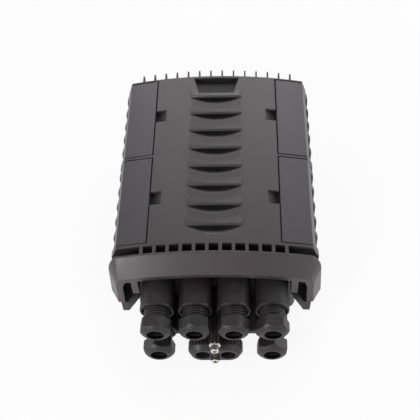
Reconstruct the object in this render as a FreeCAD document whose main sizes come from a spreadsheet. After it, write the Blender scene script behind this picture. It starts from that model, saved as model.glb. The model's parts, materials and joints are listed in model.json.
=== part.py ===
import FreeCAD
import Part
import math
import os
import Sketcher

from FreeCAD import Placement, Rotation, Vector

# Fibre termination box, lying on its back with the cover up.
# X runs across the box, +Y away from the cable ports, +Z out of the cover.
# The origin is the middle of the flat back face. All sizes are in millimetres.

DIMENSIONS = [
    # Cover
    ("crown_height", 114.0, "back face to the crown of the cover"),
    ("top_lean", 7.5, "how far each side leans in up to the arched top"),
    ("arch_rise", 10.7, "rise of the arched top over its width"),
    ("side_half", 107.5, "half width at the upright sides"),
    ("side_height", 81.0, "height where the sloping side turns upright"),
    ("far_edge", 130.2, "far edge of the cover from the middle"),
    ("near_edge", 103.6, "near wall of the lid from the middle"),
    ("panel_half", 67.6, "half width of the raised centre panel"),
    ("panel_wall", 7.0, "thickness of the centre panel"),
    ("lid_inset", 12.0, "lid wall from the upright side"),
    ("lid_wall", 3.5, "thickness of the lid wall"),
    ("lip_height", 4.0, "height of the lid's sealing lip"),
    ("far_strip", 1.6, "strip between the rear latches and the far edge"),
    ("mid_strip", 2.5, "strip between rear and front latches"),
    ("mid_strip_at", 13.35, "middle of that strip"),
    ("near_strip", 2.9, "strip between the front latches and the windows"),
    # Spoon louvres, the far pocket and the pry pockets
    ("louvre_start", 33.2, "far edge to the straight edge of the farthest louvre"),
    ("louvre_pitch", 25.5, "louvre to louvre"),
    ("louvre_half", 29.6, "half width of a louvre"),
    ("louvre_reach", 10.0, "louvre edge to the end of its ramp"),
    ("louvre_depth", 4.8, "depth of a louvre at its middle"),
    ("shingle_half", 32.5, "half width of the shingle behind each louvre"),
    ("shingle_rise", 0.8, "shingle above the crown at its straight edge"),
    ("shingle_sink", 1.2, "shingle below the crown at its far end"),
    ("hollow_half", 27.0, "half width of the hollow under a shingle's edge"),
    ("hollow_reach", 3.0, "how far that hollow runs in under the edge"),
    ("hollow_depth", 3.6, "height of that hollow at its middle"),
    ("hollow_lip", 0.6, "louvre's ends to the roof of that hollow"),
    ("pocket_margin", 2.8, "far pocket to the far edge"),
    ("pocket_length", 24.4, "length of the far pocket"),
    ("pocket_near_half", 20.0, "half width of the far pocket at its near edge"),
    ("pocket_far_half", 27.0, "half width of the far pocket at its far edge"),
    ("pocket_depth", 6.0, "depth of the far pocket at its far edge"),
    ("pocket_step", 2.5, "depth of the far pocket at its near edge"),
    ("pocket_batter", 4.0, "how far the pocket's walls lean in"),
    ("pry_length", 17.0, "length of a pry pocket"),
    ("pry_width", 11.5, "width of a pry pocket"),
    ("pry_depth", 5.5, "depth of a pry pocket beside the latch"),
    ("pry_step", 1.5, "depth of a pry pocket at its inner end"),
    # Windows and hood over the ports
    ("window_length", 9.2, "length of a hood window along the box"),
    ("window_pitch", 13.3, "window to window"),
    ("window_rib", 3.4, "rib between two windows"),
    ("end_window_drop", 33.0, "how far the end windows reach down the side"),
    ("hood_lip", 2.1, "lip between the windows and the hood's crease"),
    ("hood_run", 15.3, "crease to the hood's rim along the box"),
    ("hood_top_inset", 0.7, "hood's crease from the edge of the arched top"),
    ("rim_over", 19.2, "edge of the hood's rim above the upper row of ports"),
    ("hood_rim_inset", 9.5, "top of the hood's rim from the upright side"),
    ("hood_rim_foot_inset", 5.3, "foot of the hood's rim from the upright side"),
    ("hood_shoulder", 34.0, "radius of the hood's round shoulders"),
    ("hood_waist_out", 1.5, "foot of the shoulder at the crease beyond the upright side"),
    ("hood_waist_drop", 24.4, "height of the shoulder at the crease"),
    ("hood_flare", 3.5, "foot of the hood at the crease beyond the upright side"),
    ("rim_waist_inset", 6.5, "foot of the shoulder at the rim from the upright side"),
    ("rim_waist_drop", 17.6, "height of the shoulder at the rim"),
    ("rim_rise", 10.4, "rise of the rim's arch"),
    ("hood_foot", 41.7, "height of the hood's lower edge"),
    ("hood_wall", 5.0, "thickness of the hood's roof"),
    ("hood_cheek", 6.8, "thickness of the hood's sides"),
    ("tab_gap", 2.45, "outer port sleeve to the rib under the hood"),
    ("tab_width", 7.0, "thickness of the rib under the hood"),
    ("tab_foot", 60.0, "lower end of the rib under the hood"),
    # Far skirt and its fins
    ("skirt_inset", 12.5, "end of the far skirt from the upright side"),
    ("skirt_wall", 3.0, "thickness of the far skirt"),
    ("skirt_foot", 46.0, "lower edge of the far skirt"),
    ("fin_pitch", 13.3, "fin to fin"),
    ("fin_wall", 1.8, "thickness of a fin"),
    ("fin_reach", 11.2, "fin beyond the far edge"),
    ("fin_drop", 2.0, "arched top to a fin's top"),
    # Latches
    ("latch_wall", 3.4, "thickness of a latch"),
    ("latch_gap", 1.3, "line between a latch and the cover"),
    ("seat_gap", 0.3, "latch to the lid below it"),
    ("pin_inset", 6.0, "latch pin from the upright side"),
    ("pin_height", 46.0, "latch pin above the back"),
    ("pin_radius", 2.0, "radius of a latch pin"),
    ("pin_clearance", 0.05, "pin to its holes"),
    ("knuckle_radius", 4.0, "radius of a hinge knuckle"),
    ("latch_knee", 60.0, "height where the latch side bends to its knuckle"),
    ("lug_inset", 28.5, "middle of a hinge lug from the end of its bay"),
    ("lug_length", 10.0, "length of a hinge lug"),
    ("lug_gap", 0.5, "lug to latch knuckle"),
    ("slot_pitch", 20.0, "slot to slot in a latch side"),
    ("slot_length", 15.0, "length of a slot in a latch side"),
    ("slot_drop", 12.3, "edge of the arched top to the slots"),
    ("slot_foot", 66.0, "lower end of the slots"),
    # Base
    ("base_inset", 21.5, "side of the base from the upright side"),
    ("base_near", 114.0, "port wall from the middle"),
    ("base_far_inset", 6.2, "far wall of the base from the far edge"),
    ("base_corner", 10.0, "radius of the base's upright corners"),
    ("base_wall", 3.5, "wall of the base"),
    ("lid_height", 26.0, "sealing rim to the crown of the cover"),
    ("rim_band", 8.0, "height of the rim's band"),
    ("seal_inset", 9.0, "sealing rim from the upright side"),
    ("rim_width", 11.0, "width of the rim"),
    ("seal_near_inset", 2.1, "near edge of the sealing rim from the near wall of the lid"),
    ("seal_far_inset", 3.7, "far edge of the sealing rim from the far edge"),
    ("groove_width", 5.0, "width of the gasket groove"),
    ("groove_depth", 3.2, "depth of the gasket groove"),
    ("gasket_slack", 0.2, "gasket to each side of its groove"),
    ("lid_gap", 0.6, "lid to rim, held by the gasket"),
    ("rail_foot", 24.0, "lower edge of the side rails"),
    ("rail_top", 41.2, "upper edge of the side rails"),
    ("rail_foot_out", 5.0, "lower edge of the rails beyond the base's side"),
    ("rail_top_out", 11.0, "upper edge of the rails beyond the base's side"),
    ("cheek_out", 7.0, "inner face of the cheek's nose beyond the base's side"),
    ("cheek_width", 6.6, "width of the cheek's nose"),
    ("cheek_spread", 4.0, "how much wider the cheek is at its root"),
    # Ports
    ("port_pitch", 38.9, "port to port in the upper row"),
    ("upper_row", 66.4, "height of the upper row"),
    ("lower_row", 21.5, "height of the lower row"),
    ("lower_half", 58.6, "outer ports of the lower row from the middle"),
    ("tube_radius", 17.2, "outer radius of a port sleeve"),
    ("tube_mouth", 155.5, "mouth of the sleeves from the middle"),
    ("mouth_recess", 3.0, "depth of the recess in a sleeve's mouth"),
    ("mouth_radius", 15.2, "radius of that recess"),
    ("port_bore", 12.6, "radius of a sleeve's bore"),
    ("spigot_step", 1.8, "shoulder of a sleeve round its spigot through the port wall"),
    ("spigot_slack", 0.1, "spigot to its hole"),
    ("spigot_tail", 1.0, "spigot beyond the inside of the port wall"),
    ("web_wall", 6.0, "thickness of the webs between the lower sleeves"),
    ("web_gap", 0.3, "web to the sleeve on each side"),
    ("twin_half", 13.1, "each cable of the twin port from the middle"),
    # Cable glands
    ("gland_root", 12.0, "gland body inside its sleeve"),
    ("gland_slack", 0.2, "gland body to its sleeve"),
    ("thread_radius", 13.0, "outer radius of the gland's thread"),
    ("thread_length", 17.0, "length of that thread outside the recess"),
    ("claw_length", 5.0, "length of the tapered claw ahead of the thread"),
    ("claw_radius", 11.2, "outer radius of the claw's end"),
    ("claw_bore", 9.8, "radius of the gland body's bore"),
    ("seal_slack", 0.2, "seal to the gland body"),
    ("seal_bore", 8.3, "radius of the seal's bore"),
    ("seal_length", 14.0, "length of the seal"),
    ("nut_start", 11.0, "sleeve mouth to the nut"),
    ("nut_hex", 10.3, "length of the nut's hexagon"),
    ("nut_dome", 5.4, "length of the nut's dome"),
    ("nut_flats", 30.0, "nut across flats"),
    ("nut_mouth", 8.6, "radius of the nut's mouth"),
    ("nut_rim", 1.0, "width of the flat round the nut's mouth"),
    ("nut_clearance", 0.3, "nut to gland body"),
    # Twin gland
    ("twin_bore", 13.4, "end radius of the twin port's bore"),
    ("twin_slack", 0.2, "twin gland body to its bore"),
    ("twin_root", 14.0, "twin gland body inside its sleeve"),
    ("twin_neck", 12.0, "sleeve mouth to the twin cap"),
    ("cap_radius", 15.2, "end radius of the twin cap"),
    ("cap_length", 9.5, "straight length of the twin cap"),
    ("cap_dome", 5.2, "tapered length of the twin cap"),
    ("cap_inset", 4.0, "how far the taper leans in"),
    ("cap_wall", 3.0, "front wall of the twin cap"),
    ("cable_radius", 7.8, "radius of the twin port's cable holes"),
    # Screws on the port side
    ("screw_head", 4.2, "radius of a clamp screw's head"),
    ("screw_head_height", 6.9, "height of the earth screw's head"),
    ("twin_head_height", 8.4, "height of the twin cap's screw head"),
    ("twin_head_sink", 1.0, "how far that head is let into the cap"),
    ("screw_shank", 2.5, "radius of a clamp screw's shank"),
    ("screw_socket", 2.3, "corner radius of the screw's hexagon socket"),
    ("screw_length", 24.0, "length of the earth screw's shank"),
    ("screw_slack", 0.2, "clamp screw to its hole"),
    ("washer_radius", 5.9, "radius of the earth washer"),
    ("washer_wall", 1.2, "thickness of the earth washer"),
    ("earth_gap", 0.3, "earth screw's boss above the twin sleeve"),
    ("earth_boss", 5.0, "radius of the earth screw's boss"),
    ("earth_mouth", 181.0, "end of that boss from the middle"),
    # Back mounting
    ("mount_half_x", 60.0, "mounting holes from the middle across the box"),
    ("mount_half_y", 85.0, "mounting holes from the middle along the box"),
    ("insert_bore", 2.5, "radius of the thread in a mounting insert"),
    ("insert_radius", 4.4, "outer radius of a mounting insert"),
    ("insert_length", 11.0, "length of a mounting insert"),
    ("insert_slack", 0.1, "mounting insert to its hole"),
    ("boss_wall", 3.0, "plastic round a mounting insert"),
    # Splice trays inside
    ("post_inset", 20.0, "bracket posts from the base's side"),
    ("post_near", -38.0, "near pair of bracket posts"),
    ("post_far_inset", 24.0, "far pair of bracket posts from the base's far wall"),
    ("post_radius", 4.5, "radius of a bracket post"),
    ("post_height", 16.0, "height of the bracket posts"),
    ("small_screw", 1.5, "radius of a small screw's shank"),
    ("small_head", 3.0, "radius of a small screw's head"),
    ("small_head_height", 2.0, "height of a small screw's head"),
    ("small_depth", 8.0, "depth of a small screw"),
    ("small_slack", 0.1, "small screw to its hole"),
    ("bracket_wall", 2.0, "thickness of the tray bracket"),
    ("bracket_edge", 8.0, "bracket beyond its posts"),
    ("tray_inset", 24.0, "side of a splice tray from the base's side"),
    ("tray_near", -45.0, "near end of a splice tray"),
    ("tray_far_inset", 28.0, "far end of a splice tray from the base's far wall"),
    ("tray_depth", 12.0, "depth of a splice tray"),
    ("tray_wall", 1.8, "wall of a splice tray"),
    ("tray_corner", 14.0, "corner radius of a splice tray"),
    ("tray_step", 17.0, "tray to tray"),
    ("tray_rise", 4.0, "lowest tray above the bracket"),
    ("ear_inset", 12.0, "hinge ears from the tray's side"),
    ("ear_width", 6.0, "width of a hinge ear"),
    ("ear_radius", 3.6, "radius of a hinge ear"),
    ("ear_gap", 0.4, "tray ear to bracket ear"),
    ("rod_radius", 1.5, "radius of a tray rod"),
    ("drum_radius", 13.5, "radius of a tray's fibre drum"),
    ("drum_offset", 43.0, "fibre drum from the tray's middle"),
    ("holder_length", 40.0, "length of a splice holder"),
    ("holder_width", 16.0, "width of a splice holder"),
    ("holder_height", 7.0, "height of a splice holder"),
    ("cover_sheet", 1.5, "thickness of the tray cover"),
    # Cable clamps inside
    ("clamp_at", -84.0, "cable clamps from the middle along the box"),
    ("clamp_width", 16.0, "width of a cable clamp"),
    ("clamp_depth", 12.0, "length of a cable clamp"),
    ("clamp_height", 9.0, "height of a cable clamp"),
    ("clamp_bore", 1.8, "radius of the hole for the strength member"),
    ("clamp_bore_rise", 2.7, "middle of that hole above the pedestal"),
    ("pedestal_height", 14.0, "height of the pedestals below the clamps"),
]

LATCH_ENDS = ("rear", "front")
SIDES = {"left": -1, "right": 1}
LOUVRES = 8
WINDOWS = 11
FINS = 14
SLOTS = 5
# How far each gland nut is turned about its axis, in degrees, upper row then lower row
NUT_TURNS = (-12.0, 8.0, -18.0, 22.0, 14.0, -6.0)


class Size:
    """A length that carries its number and the sheet formula that gives it."""

    def __init__(self, text, value):
        self.text = text
        self.value = value

    def __add__(self, other):
        other = as_size(other)
        return Size("(%s + %s)" % (self.text, other.text), self.value + other.value)

    def __sub__(self, other):
        other = as_size(other)
        return Size("(%s - %s)" % (self.text, other.text), self.value - other.value)

    def __mul__(self, other):
        other = as_size(other)
        return Size("(%s * %s)" % (self.text, other.text), self.value * other.value)

    def __truediv__(self, other):
        other = as_size(other)
        return Size("(%s / %s)" % (self.text, other.text), self.value / other.value)

    def __neg__(self):
        return as_size(0) - self

    def __rsub__(self, other):
        return as_size(other) - self

    __radd__ = __add__
    __rmul__ = __mul__


def as_size(number):
    """A plain number as a Size, and a Size as it is."""
    if isinstance(number, Size):
        return number
    return Size(repr(float(number)), float(number))


def root(size):
    """The square root of a Size."""
    return Size("sqrt(%s)" % size.text, math.sqrt(size.value))


def slope_angle(rise, length):
    """The angle in degrees of a slope from its rise and its own length."""
    text = "asin(%s / %s) / 1 deg" % (rise.text, length.text)
    return Size("(%s)" % text, math.degrees(math.asin(rise.value / length.value)))


class Sheet:
    """The driving dimensions, read as attributes and kept in the spreadsheet."""

    def __init__(self, document, rows):
        cells = document.addObject("Spreadsheet::Sheet", "Dims")
        for row, (alias, number, meaning) in enumerate(rows, start=1):
            cells.set("A%d" % row, repr(number))
            cells.setAlias("A%d" % row, alias)
            cells.set("B%d" % row, meaning)
            setattr(self, alias, Size("Dims." + alias, number))


doc = FreeCAD.newDocument("fibre_termination_box")
size = Sheet(doc, DIMENSIONS)
doc.recompute()
nodes = []


def bind(target, prop, length):
    """Ties one property of an object to its sheet formula."""
    target.setExpression(prop, as_size(length).text)


def bind_place(target, x=0, y=0, z=0):
    """Ties the place of an object to the sheet."""
    for axis, length in zip("xyz", (x, y, z)):
        bind(target, "Placement.Base." + axis, length)


def arc_between(first, last, radius, turn):
    """The arc from one corner to the next; turn is 1 anticlockwise and -1 clockwise."""
    middle = (first + last) * 0.5
    half = (last - first) * 0.5
    reach = math.sqrt(max(radius * radius - half.Length * half.Length, 0.0))
    left = Vector(-half.y, half.x, 0).normalize()
    centre = middle + left * (reach * turn)
    start, end = (first, last) if turn > 0 else (last, first)
    angles = [math.atan2(p.y - centre.y, p.x - centre.x) for p in (start, end)]
    circle = Part.Circle(centre, Vector(0, 0, 1), radius)
    return Part.ArcOfCircle(circle, angles[0], angles[1])


def draw(sketch, corners):
    """Draws a closed outline whose corners and arc radii follow the sheet.

    A corner is (u, v), or (u, v, radius, turn) where an arc leaves it.
    """
    count = len(corners)
    base = sketch.GeometryCount
    points = [Vector(as_size(c[0]).value, as_size(c[1]).value, 0) for c in corners]
    edges = []
    starts = []
    ends = []
    for i, corner in enumerate(corners):
        following = points[(i + 1) % count]
        clockwise = len(corner) > 2 and corner[3] < 0
        starts.append((base + i, 2 if clockwise else 1))
        ends.append((base + i, 1 if clockwise else 2))
        if len(corner) > 2:
            edges.append(arc_between(points[i], following, as_size(corner[2]).value, corner[3]))
        else:
            edges.append(Part.LineSegment(points[i], following))
    sketch.addGeometry(edges, False)
    rules = []
    lengths = []
    for i, corner in enumerate(corners):
        rules.append(Sketcher.Constraint("Coincident", *ends[i - 1], *starts[i]))
        lengths.append(None)
        for kind, length, place in zip(("DistanceX", "DistanceY"), corner, (points[i].x, points[i].y)):
            rules.append(Sketcher.Constraint(kind, -1, 1, *starts[i], place))
            lengths.append(as_size(length))
        if len(corner) > 2:
            rules.append(Sketcher.Constraint("Radius", base + i, as_size(corner[2]).value))
            lengths.append(as_size(corner[2]))
    tie_rules(sketch, rules, lengths)


def draw_circle(sketch, u, v, radius):
    """Draws a circle whose centre and radius follow the sheet."""
    index = sketch.GeometryCount
    u, v, radius = as_size(u), as_size(v), as_size(radius)
    circle = Part.Circle(Vector(u.value, v.value, 0), Vector(0, 0, 1), radius.value)
    sketch.addGeometry(circle, False)
    rules = [
        Sketcher.Constraint("DistanceX", -1, 1, index, 3, u.value),
        Sketcher.Constraint("DistanceY", -1, 1, index, 3, v.value),
        Sketcher.Constraint("Radius", index, radius.value),
    ]
    tie_rules(sketch, rules, [u, v, radius])


def tie_rules(sketch, rules, lengths):
    """Adds constraints to a sketch and ties those with a length to the sheet."""
    first = sketch.ConstraintCount
    sketch.addConstraint(rules)
    for i, length in enumerate(lengths):
        if length is not None:
            bind(sketch, "Constraints[%d]" % (first + i), length)


def rectangle(u0, v0, u1, v1):
    """The corners of a rectangle."""
    return [(u0, v0), (u1, v0), (u1, v1), (u0, v1)]


def rounded(u0, v0, u1, v1, radius):
    """The corners of a rectangle with round corners, anticlockwise."""
    return [
        (u0 + radius, v0), (u1 - radius, v0, radius, 1),
        (u1, v0 + radius), (u1, v1 - radius, radius, 1),
        (u1 - radius, v1), (u0 + radius, v1, radius, 1),
        (u0, v1 - radius), (u0, v0 + radius, radius, 1),
    ]


def stadium(half, v, radius):
    """The corners of a slot shape round the middle: two lines and two half rounds."""
    return [
        (-half, v - radius), (half, v - radius, radius, 1),
        (half + radius, v, radius, 1), (half, v + radius),
        (-half, v + radius, radius, 1), (-half - radius, v, radius, 1),
    ]


class Piece:
    """A solid piece built up from sketches."""

    PLANES = {"XY": "XY_Plane", "XZ": "XZ_Plane", "YZ": "YZ_Plane"}

    def __init__(self, label):
        self.body = doc.addObject("PartDesign::Body", label)
        self.body.Label = label
        self.label = label
        nodes.append(self.body)

    def origin(self, role):
        """The body's own origin plane or axis of that role."""
        return next(f for f in self.body.Origin.OriginFeatures if f.Role == role)

    def sketch(self, plane, level, outlines=(), circles=()):
        """A sketch on an origin plane, moved to a level along the third axis."""
        drawing = self.body.newObject("Sketcher::SketchObject", self.label + "_sketch")
        drawing.AttachmentSupport = [(self.origin(self.PLANES[plane]), "")]
        drawing.MapMode = "FlatFace"
        level = as_size(level)
        bind(drawing, "AttachmentOffset.Base.z", -level if plane == "XZ" else level)
        for corners in outlines:
            draw(drawing, corners)
        for circle in circles:
            draw_circle(drawing, *circle)
        return drawing

    def feature(self, kind, name, **settings):
        """A new feature of the body, which becomes its tip."""
        made = self.body.newObject("PartDesign::" + kind, "%s_%s" % (self.label, name))
        for key, setting in settings.items():
            setattr(made, key, setting)
        self.body.Tip = made
        return made

    def pad(self, name, plane, start, end, outlines=(), circles=()):
        """Material between two levels."""
        drawing = self.sketch(plane, start, outlines, circles)
        made = self.feature("Pad", name, Profile=drawing, Reversed=plane == "XZ")
        bind(made, "Length", end - start)
        return made

    def pocket(self, name, plane, start, end, outlines=(), circles=()):
        """A cut between two levels."""
        drawing = self.sketch(plane, start, outlines, circles)
        made = self.feature("Pocket", name, Profile=drawing, Reversed=plane != "XZ")
        bind(made, "Length", end - start)
        return made

    def loft(self, kind, name, plane, sections):
        """Material or a cut between two outlines at two levels."""
        drawings = [self.sketch(plane, level, [corners]) for level, corners in sections]
        return self.feature(kind, name, Profile=drawings[0], Sections=drawings[1:], Ruled=True)

    def turned(self, kind, name, corners):
        """A revolved profile round the Y axis, drawn as radius and place along the axis."""
        drawing = self.sketch("XY", 0, [corners])
        return self.feature(kind, name, Profile=drawing, ReferenceAxis=(drawing, ["V_Axis"]), Angle=360)

    def place(self, x=0, y=0, z=0):
        """Puts the finished piece where it belongs."""
        bind_place(self.body, x, y, z)


def group(label, members):
    """Several like solids in one node."""
    made = doc.addObject("Part::Compound", label)
    made.Label = label
    made.Links = members
    nodes.append(made)
    return made


def cylinder(label, radius, height, x, y, z, axis=Vector(0, 0, 1)):
    """A round rod from a point along an axis."""
    made = doc.addObject("Part::Cylinder", label)
    made.Label = label
    bind(made, "Radius", radius)
    bind(made, "Height", height)
    made.Placement = Placement(Vector(0, 0, 0), Rotation(Vector(0, 0, 1), axis))
    bind_place(made, x, y, z)
    return made


def box(label, x0, y0, z0, x1, y1, z1):
    """A block between two corners."""
    made = doc.addObject("Part::Box", label)
    made.Label = label
    bind(made, "Length", x1 - x0)
    bind(made, "Width", y1 - y0)
    bind(made, "Height", z1 - z0)
    bind_place(made, x0, y0, z0)
    return made


def joined(kind, label, base, tool):
    """A boolean of two solids."""
    made = doc.addObject("Part::" + kind, label)
    made.Label = label
    made.Base = base
    made.Tool = tool
    return made


# Half widths, worked out from the upright sides of the cover
top_half = size.side_half - size.top_lean
lid_half = size.side_half - size.lid_inset
skirt_half = size.side_half - size.skirt_inset
pin_half = size.side_half - size.pin_inset
hood_top_half = top_half - size.hood_top_inset
seal_half = size.side_half - size.seal_inset
base_half = size.side_half - size.base_inset
rail_foot_half = base_half + size.rail_foot_out
rail_top_half = base_half + size.rail_top_out
cheek_inner = base_half + size.cheek_out
cheek_outer = cheek_inner + size.cheek_width
post_half = base_half - size.post_inset
tray_half = base_half - size.tray_inset
ear_half = tray_half - size.ear_inset

# Places along the box, worked out from the two ends of the cover
seal_near = size.near_edge - size.seal_near_inset
seal_far = size.far_edge - size.seal_far_inset
base_far = size.far_edge - size.base_far_inset
post_far = base_far - size.post_far_inset
tray_far = base_far - size.tray_far_inset
louvre_first = size.far_edge - size.louvre_start
pocket_far = size.far_edge - size.pocket_margin
pocket_near = pocket_far - size.pocket_length

# Heights, arches and port places
rim_top = size.crown_height - size.lid_height
arch_radius = (top_half * top_half + size.arch_rise * size.arch_rise) / (size.arch_rise * 2)
arch_centre = size.crown_height - arch_radius
top_edge = size.crown_height - size.arch_rise
slot_top = top_edge - size.slot_drop
side_slope = (size.side_half - top_half) / (top_edge - size.side_height)
lid_base = rim_top + size.lid_gap
latch_seat = size.latch_wall + size.seat_gap
window_near = -size.near_edge - size.window_length
crease = window_near - size.hood_lip
rim_plane = crease - size.hood_run
rear_bay = (size.mid_strip_at + size.mid_strip / 2, size.far_edge - size.far_strip)
front_bay = (size.near_strip - size.near_edge, size.mid_strip_at - size.mid_strip / 2)
BAYS = {"rear": rear_bay, "front": front_bay}
upper_ports = [(size.port_pitch * (i - 1.5), size.upper_row) for i in range(4)]
lower_ports = [(size.lower_half * side, size.lower_row) for side in SIDES.values()]
PORTS = upper_ports + lower_ports
gasket_half = seal_half - size.rim_width / 2
gasket_near = size.rim_width / 2 - seal_near
gasket_far = seal_far - size.rim_width / 2
rim_corner = size.base_corner + seal_half - base_half
spigot_radius = size.tube_radius - size.spigot_step
sleeve_shoulder = size.tube_mouth - size.base_near
sleeve_length = sleeve_shoulder + size.base_wall + size.spigot_tail
earth_height = size.lower_row + size.tube_radius + size.earth_gap + size.earth_boss
ports_half = size.port_pitch * 1.5 + size.tube_radius
tab_inner = ports_half + size.tab_gap


def arch_z(x, depth=0):
    """Height of the arched top at x, or of the surface a depth below it."""
    reach = arch_radius - depth
    return arch_centre + root(reach * reach - as_size(x) * x)


def side_x(z):
    """Half width of the sloping side at a height."""
    return top_half + side_slope * (top_edge - z)


def arched(half, top, foot_half, foot, radius):
    """A closed outline with an arched top over straight sloping sides."""
    return [(-foot_half, foot), (foot_half, foot), (half, top, radius, 1), (-half, top)]


def mirrored_outline(corners, side):
    """An outline on the right side, or its mirror image on the left."""
    if side > 0:
        return corners
    flipped = []
    for i, corner in enumerate(corners):
        before = corners[i]
        entry = (-as_size(before[0]), before[1])
        leaving = corners[i - 1]
        if len(leaving) > 2:
            entry = entry + (leaving[2], leaving[3])
        flipped.append(entry)
    return flipped[::-1]


def make_cover():
    """The arched cover with its latch bays, louvres, windowed hood and finned skirt."""
    cover = Piece("cover_shell")
    foot_half = side_x(lid_base)
    near_wall = -size.near_edge
    outer = arched(top_half, top_edge, foot_half, lid_base, arch_radius)
    cover.pad("crown", "XZ", near_wall, size.far_edge, [outer])
    cover_bays(cover, foot_half)
    cover_chamber(cover, near_wall)
    cover_skirt(cover)
    cover_hood(cover, near_wall)
    cover_windows(cover)
    cover_relief(cover)
    return cover


def cover_bays(cover, foot_half):
    """The four bays that the latches close over."""
    above = size.crown_height + size.latch_wall
    beyond = foot_half + size.latch_wall
    lip_top = lid_base + size.lip_height
    below = lid_base - size.lid_gap
    floor_radius = arch_radius - latch_seat
    bay = [
        (size.panel_half, above),
        (size.panel_half, arch_z(size.panel_half, latch_seat), floor_radius, -1),
        (lid_half, arch_z(lid_half, latch_seat)),
        (lid_half, lip_top), (seal_half, lip_top),
        (seal_half, below), (beyond, below), (beyond, above),
    ]
    outlines = [mirrored_outline(bay, side) for side in SIDES.values()]
    for end in LATCH_ENDS:
        cover.pocket(end + "_bays", "XZ", BAYS[end][0], BAYS[end][1], outlines)


def cover_chamber(cover, near_wall):
    """The hollow of the lid above its sealing lip."""
    lip_top = lid_base + size.lip_height
    half = lid_half - size.lid_wall
    ceiling = arched(half, arch_z(half, size.panel_wall), half, lip_top, arch_radius - size.panel_wall)
    cover.pocket("chamber", "XZ", near_wall + size.lid_wall * 2, seal_far - size.lid_wall, [ceiling])
    inner = rounded(size.rim_width - seal_half, size.rim_width - seal_near,
                    seal_half - size.rim_width, seal_far - size.rim_width, size.base_corner / 2)
    cover.pocket("mouth", "XY", lid_base - size.lid_gap, lip_top + size.lid_gap, [inner])


def cover_skirt(cover):
    """The far skirt with its row of upright fins."""
    skirt = rectangle(-skirt_half, size.skirt_foot, skirt_half, lid_base + size.lip_height)
    cover.pad("skirt", "XZ", size.far_edge - size.skirt_wall, size.far_edge, [skirt])
    fins = []
    for i in range(FINS):
        x = size.fin_pitch * (i - (FINS - 1) / 2)
        fins.append(rectangle(x - size.fin_wall / 2, size.skirt_foot, x + size.fin_wall / 2,
                              arch_z(x) - size.fin_drop))
    cover.pad("fins", "XZ", size.far_edge - size.skirt_wall / 2, size.far_edge + size.fin_reach, fins)


def hood_outline(half, top, waist_half, waist, foot_half, rise):
    """A hood section: an arched roof, round shoulders and sides that spread a little."""
    radius = (half * half + rise * rise) / (rise * 2)
    shoulder = size.hood_shoulder
    return [(-foot_half, size.hood_foot), (foot_half, size.hood_foot), (waist_half, waist, shoulder, 1),
            (half, top, radius, 1), (-half, top, shoulder, 1), (-waist_half, waist)]


def cover_hood(cover, near_wall):
    """The hood over the ports, drawn in towards its rim, with a rib under each side."""
    thin = size.hood_wall
    cheek = size.hood_cheek
    crease_top = arch_z(hood_top_half)
    crease_rise = size.crown_height - crease_top
    waist_half = size.side_half + size.hood_waist_out
    waist = crease_top - size.hood_waist_drop
    foot_half = size.side_half + size.hood_flare
    back = hood_outline(hood_top_half, crease_top, waist_half, waist, foot_half, crease_rise)
    back_hollow = hood_outline(hood_top_half - cheek, crease_top - thin, waist_half - cheek, waist - thin,
                               foot_half - cheek, crease_rise)
    rim_half = size.side_half - size.hood_rim_inset
    rim_edge = size.upper_row + size.rim_over
    rim_waist_half = size.side_half - size.rim_waist_inset
    rim_waist = rim_edge - size.rim_waist_drop
    rim_foot_half = size.side_half - size.hood_rim_foot_inset
    front = hood_outline(rim_half, rim_edge, rim_waist_half, rim_waist, rim_foot_half, size.rim_rise)
    front_hollow = hood_outline(rim_half - cheek, rim_edge - thin, rim_waist_half - cheek, rim_waist - thin,
                                rim_foot_half - cheek, size.rim_rise)
    cover.pad("hood_roof", "XZ", crease, near_wall, [back])
    cover.loft("AdditiveLoft", "hood_slope", "XZ", [(crease, back), (rim_plane, front)])
    cover.pocket("hood_hollow", "XZ", crease, near_wall, [back_hollow])
    cover.loft("SubtractiveLoft", "hood_mouth", "XZ", [(crease, back_hollow), (rim_plane, front_hollow)])
    tabs = []
    for side in SIDES.values():
        tab = rectangle(tab_inner, size.tab_foot, tab_inner + size.tab_width, rim_edge)
        tabs.append(mirrored_outline(tab, side))
    cover.pad("hood_ribs", "XZ", rim_plane, crease, tabs)


def cover_windows(cover):
    """The row of windows behind the hood; the end ones run down the sides."""
    near = window_near
    far = -size.near_edge
    opening = (size.window_pitch - size.window_rib) / 2
    above = size.crown_height + size.hood_wall
    small = []
    for i in range(WINDOWS):
        x = size.window_pitch * (i - (WINDOWS - 1) / 2)
        small.append(rectangle(x - opening, near, x + opening, far))
    floor = top_edge - size.hood_wall * 2
    cover.pocket("windows", "XY", floor, above, small)
    inner = size.window_pitch * (WINDOWS / 2) + size.window_rib / 2
    outer = size.side_half + size.hood_wall
    long = [rectangle(inner * side, near, outer * side, far) for side in SIDES.values()]
    cover.pocket("end_windows", "XY", top_edge - size.end_window_drop, above, long)


def cover_relief(cover):
    """The shingled louvres, the far pocket and the pry pockets beside the latches."""
    cover_shingles(cover)
    cover_louvres(cover)
    cover_far_pocket(cover)
    cover_pry_pockets(cover)


def louvre_row(cover, name, first):
    """Repeats a feature of the farthest louvre along the centre panel."""
    row = cover.feature("LinearPattern", name, Originals=[first], Reversed=True, Occurrences=LOUVRES)
    row.Direction = (cover.origin("Y_Axis"), [""])
    bind(row, "Length", size.louvre_pitch * (LOUVRES - 1))
    cover.body.Tip = row


def cover_shingles(cover):
    """The flat shingles, each rising out of the arched top to the straight edge of its louvre."""
    far = louvre_first + size.louvre_pitch - size.louvre_reach
    foot = size.crown_height - size.panel_wall / 2
    wedge = [(louvre_first, foot), (far, foot), (far, size.crown_height - size.shingle_sink),
             (louvre_first, size.crown_height + size.shingle_rise)]
    shingle = cover.pad("shingle", "YZ", -size.shingle_half, size.shingle_half, [wedge])
    louvre_row(cover, "shingles", shingle)


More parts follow.
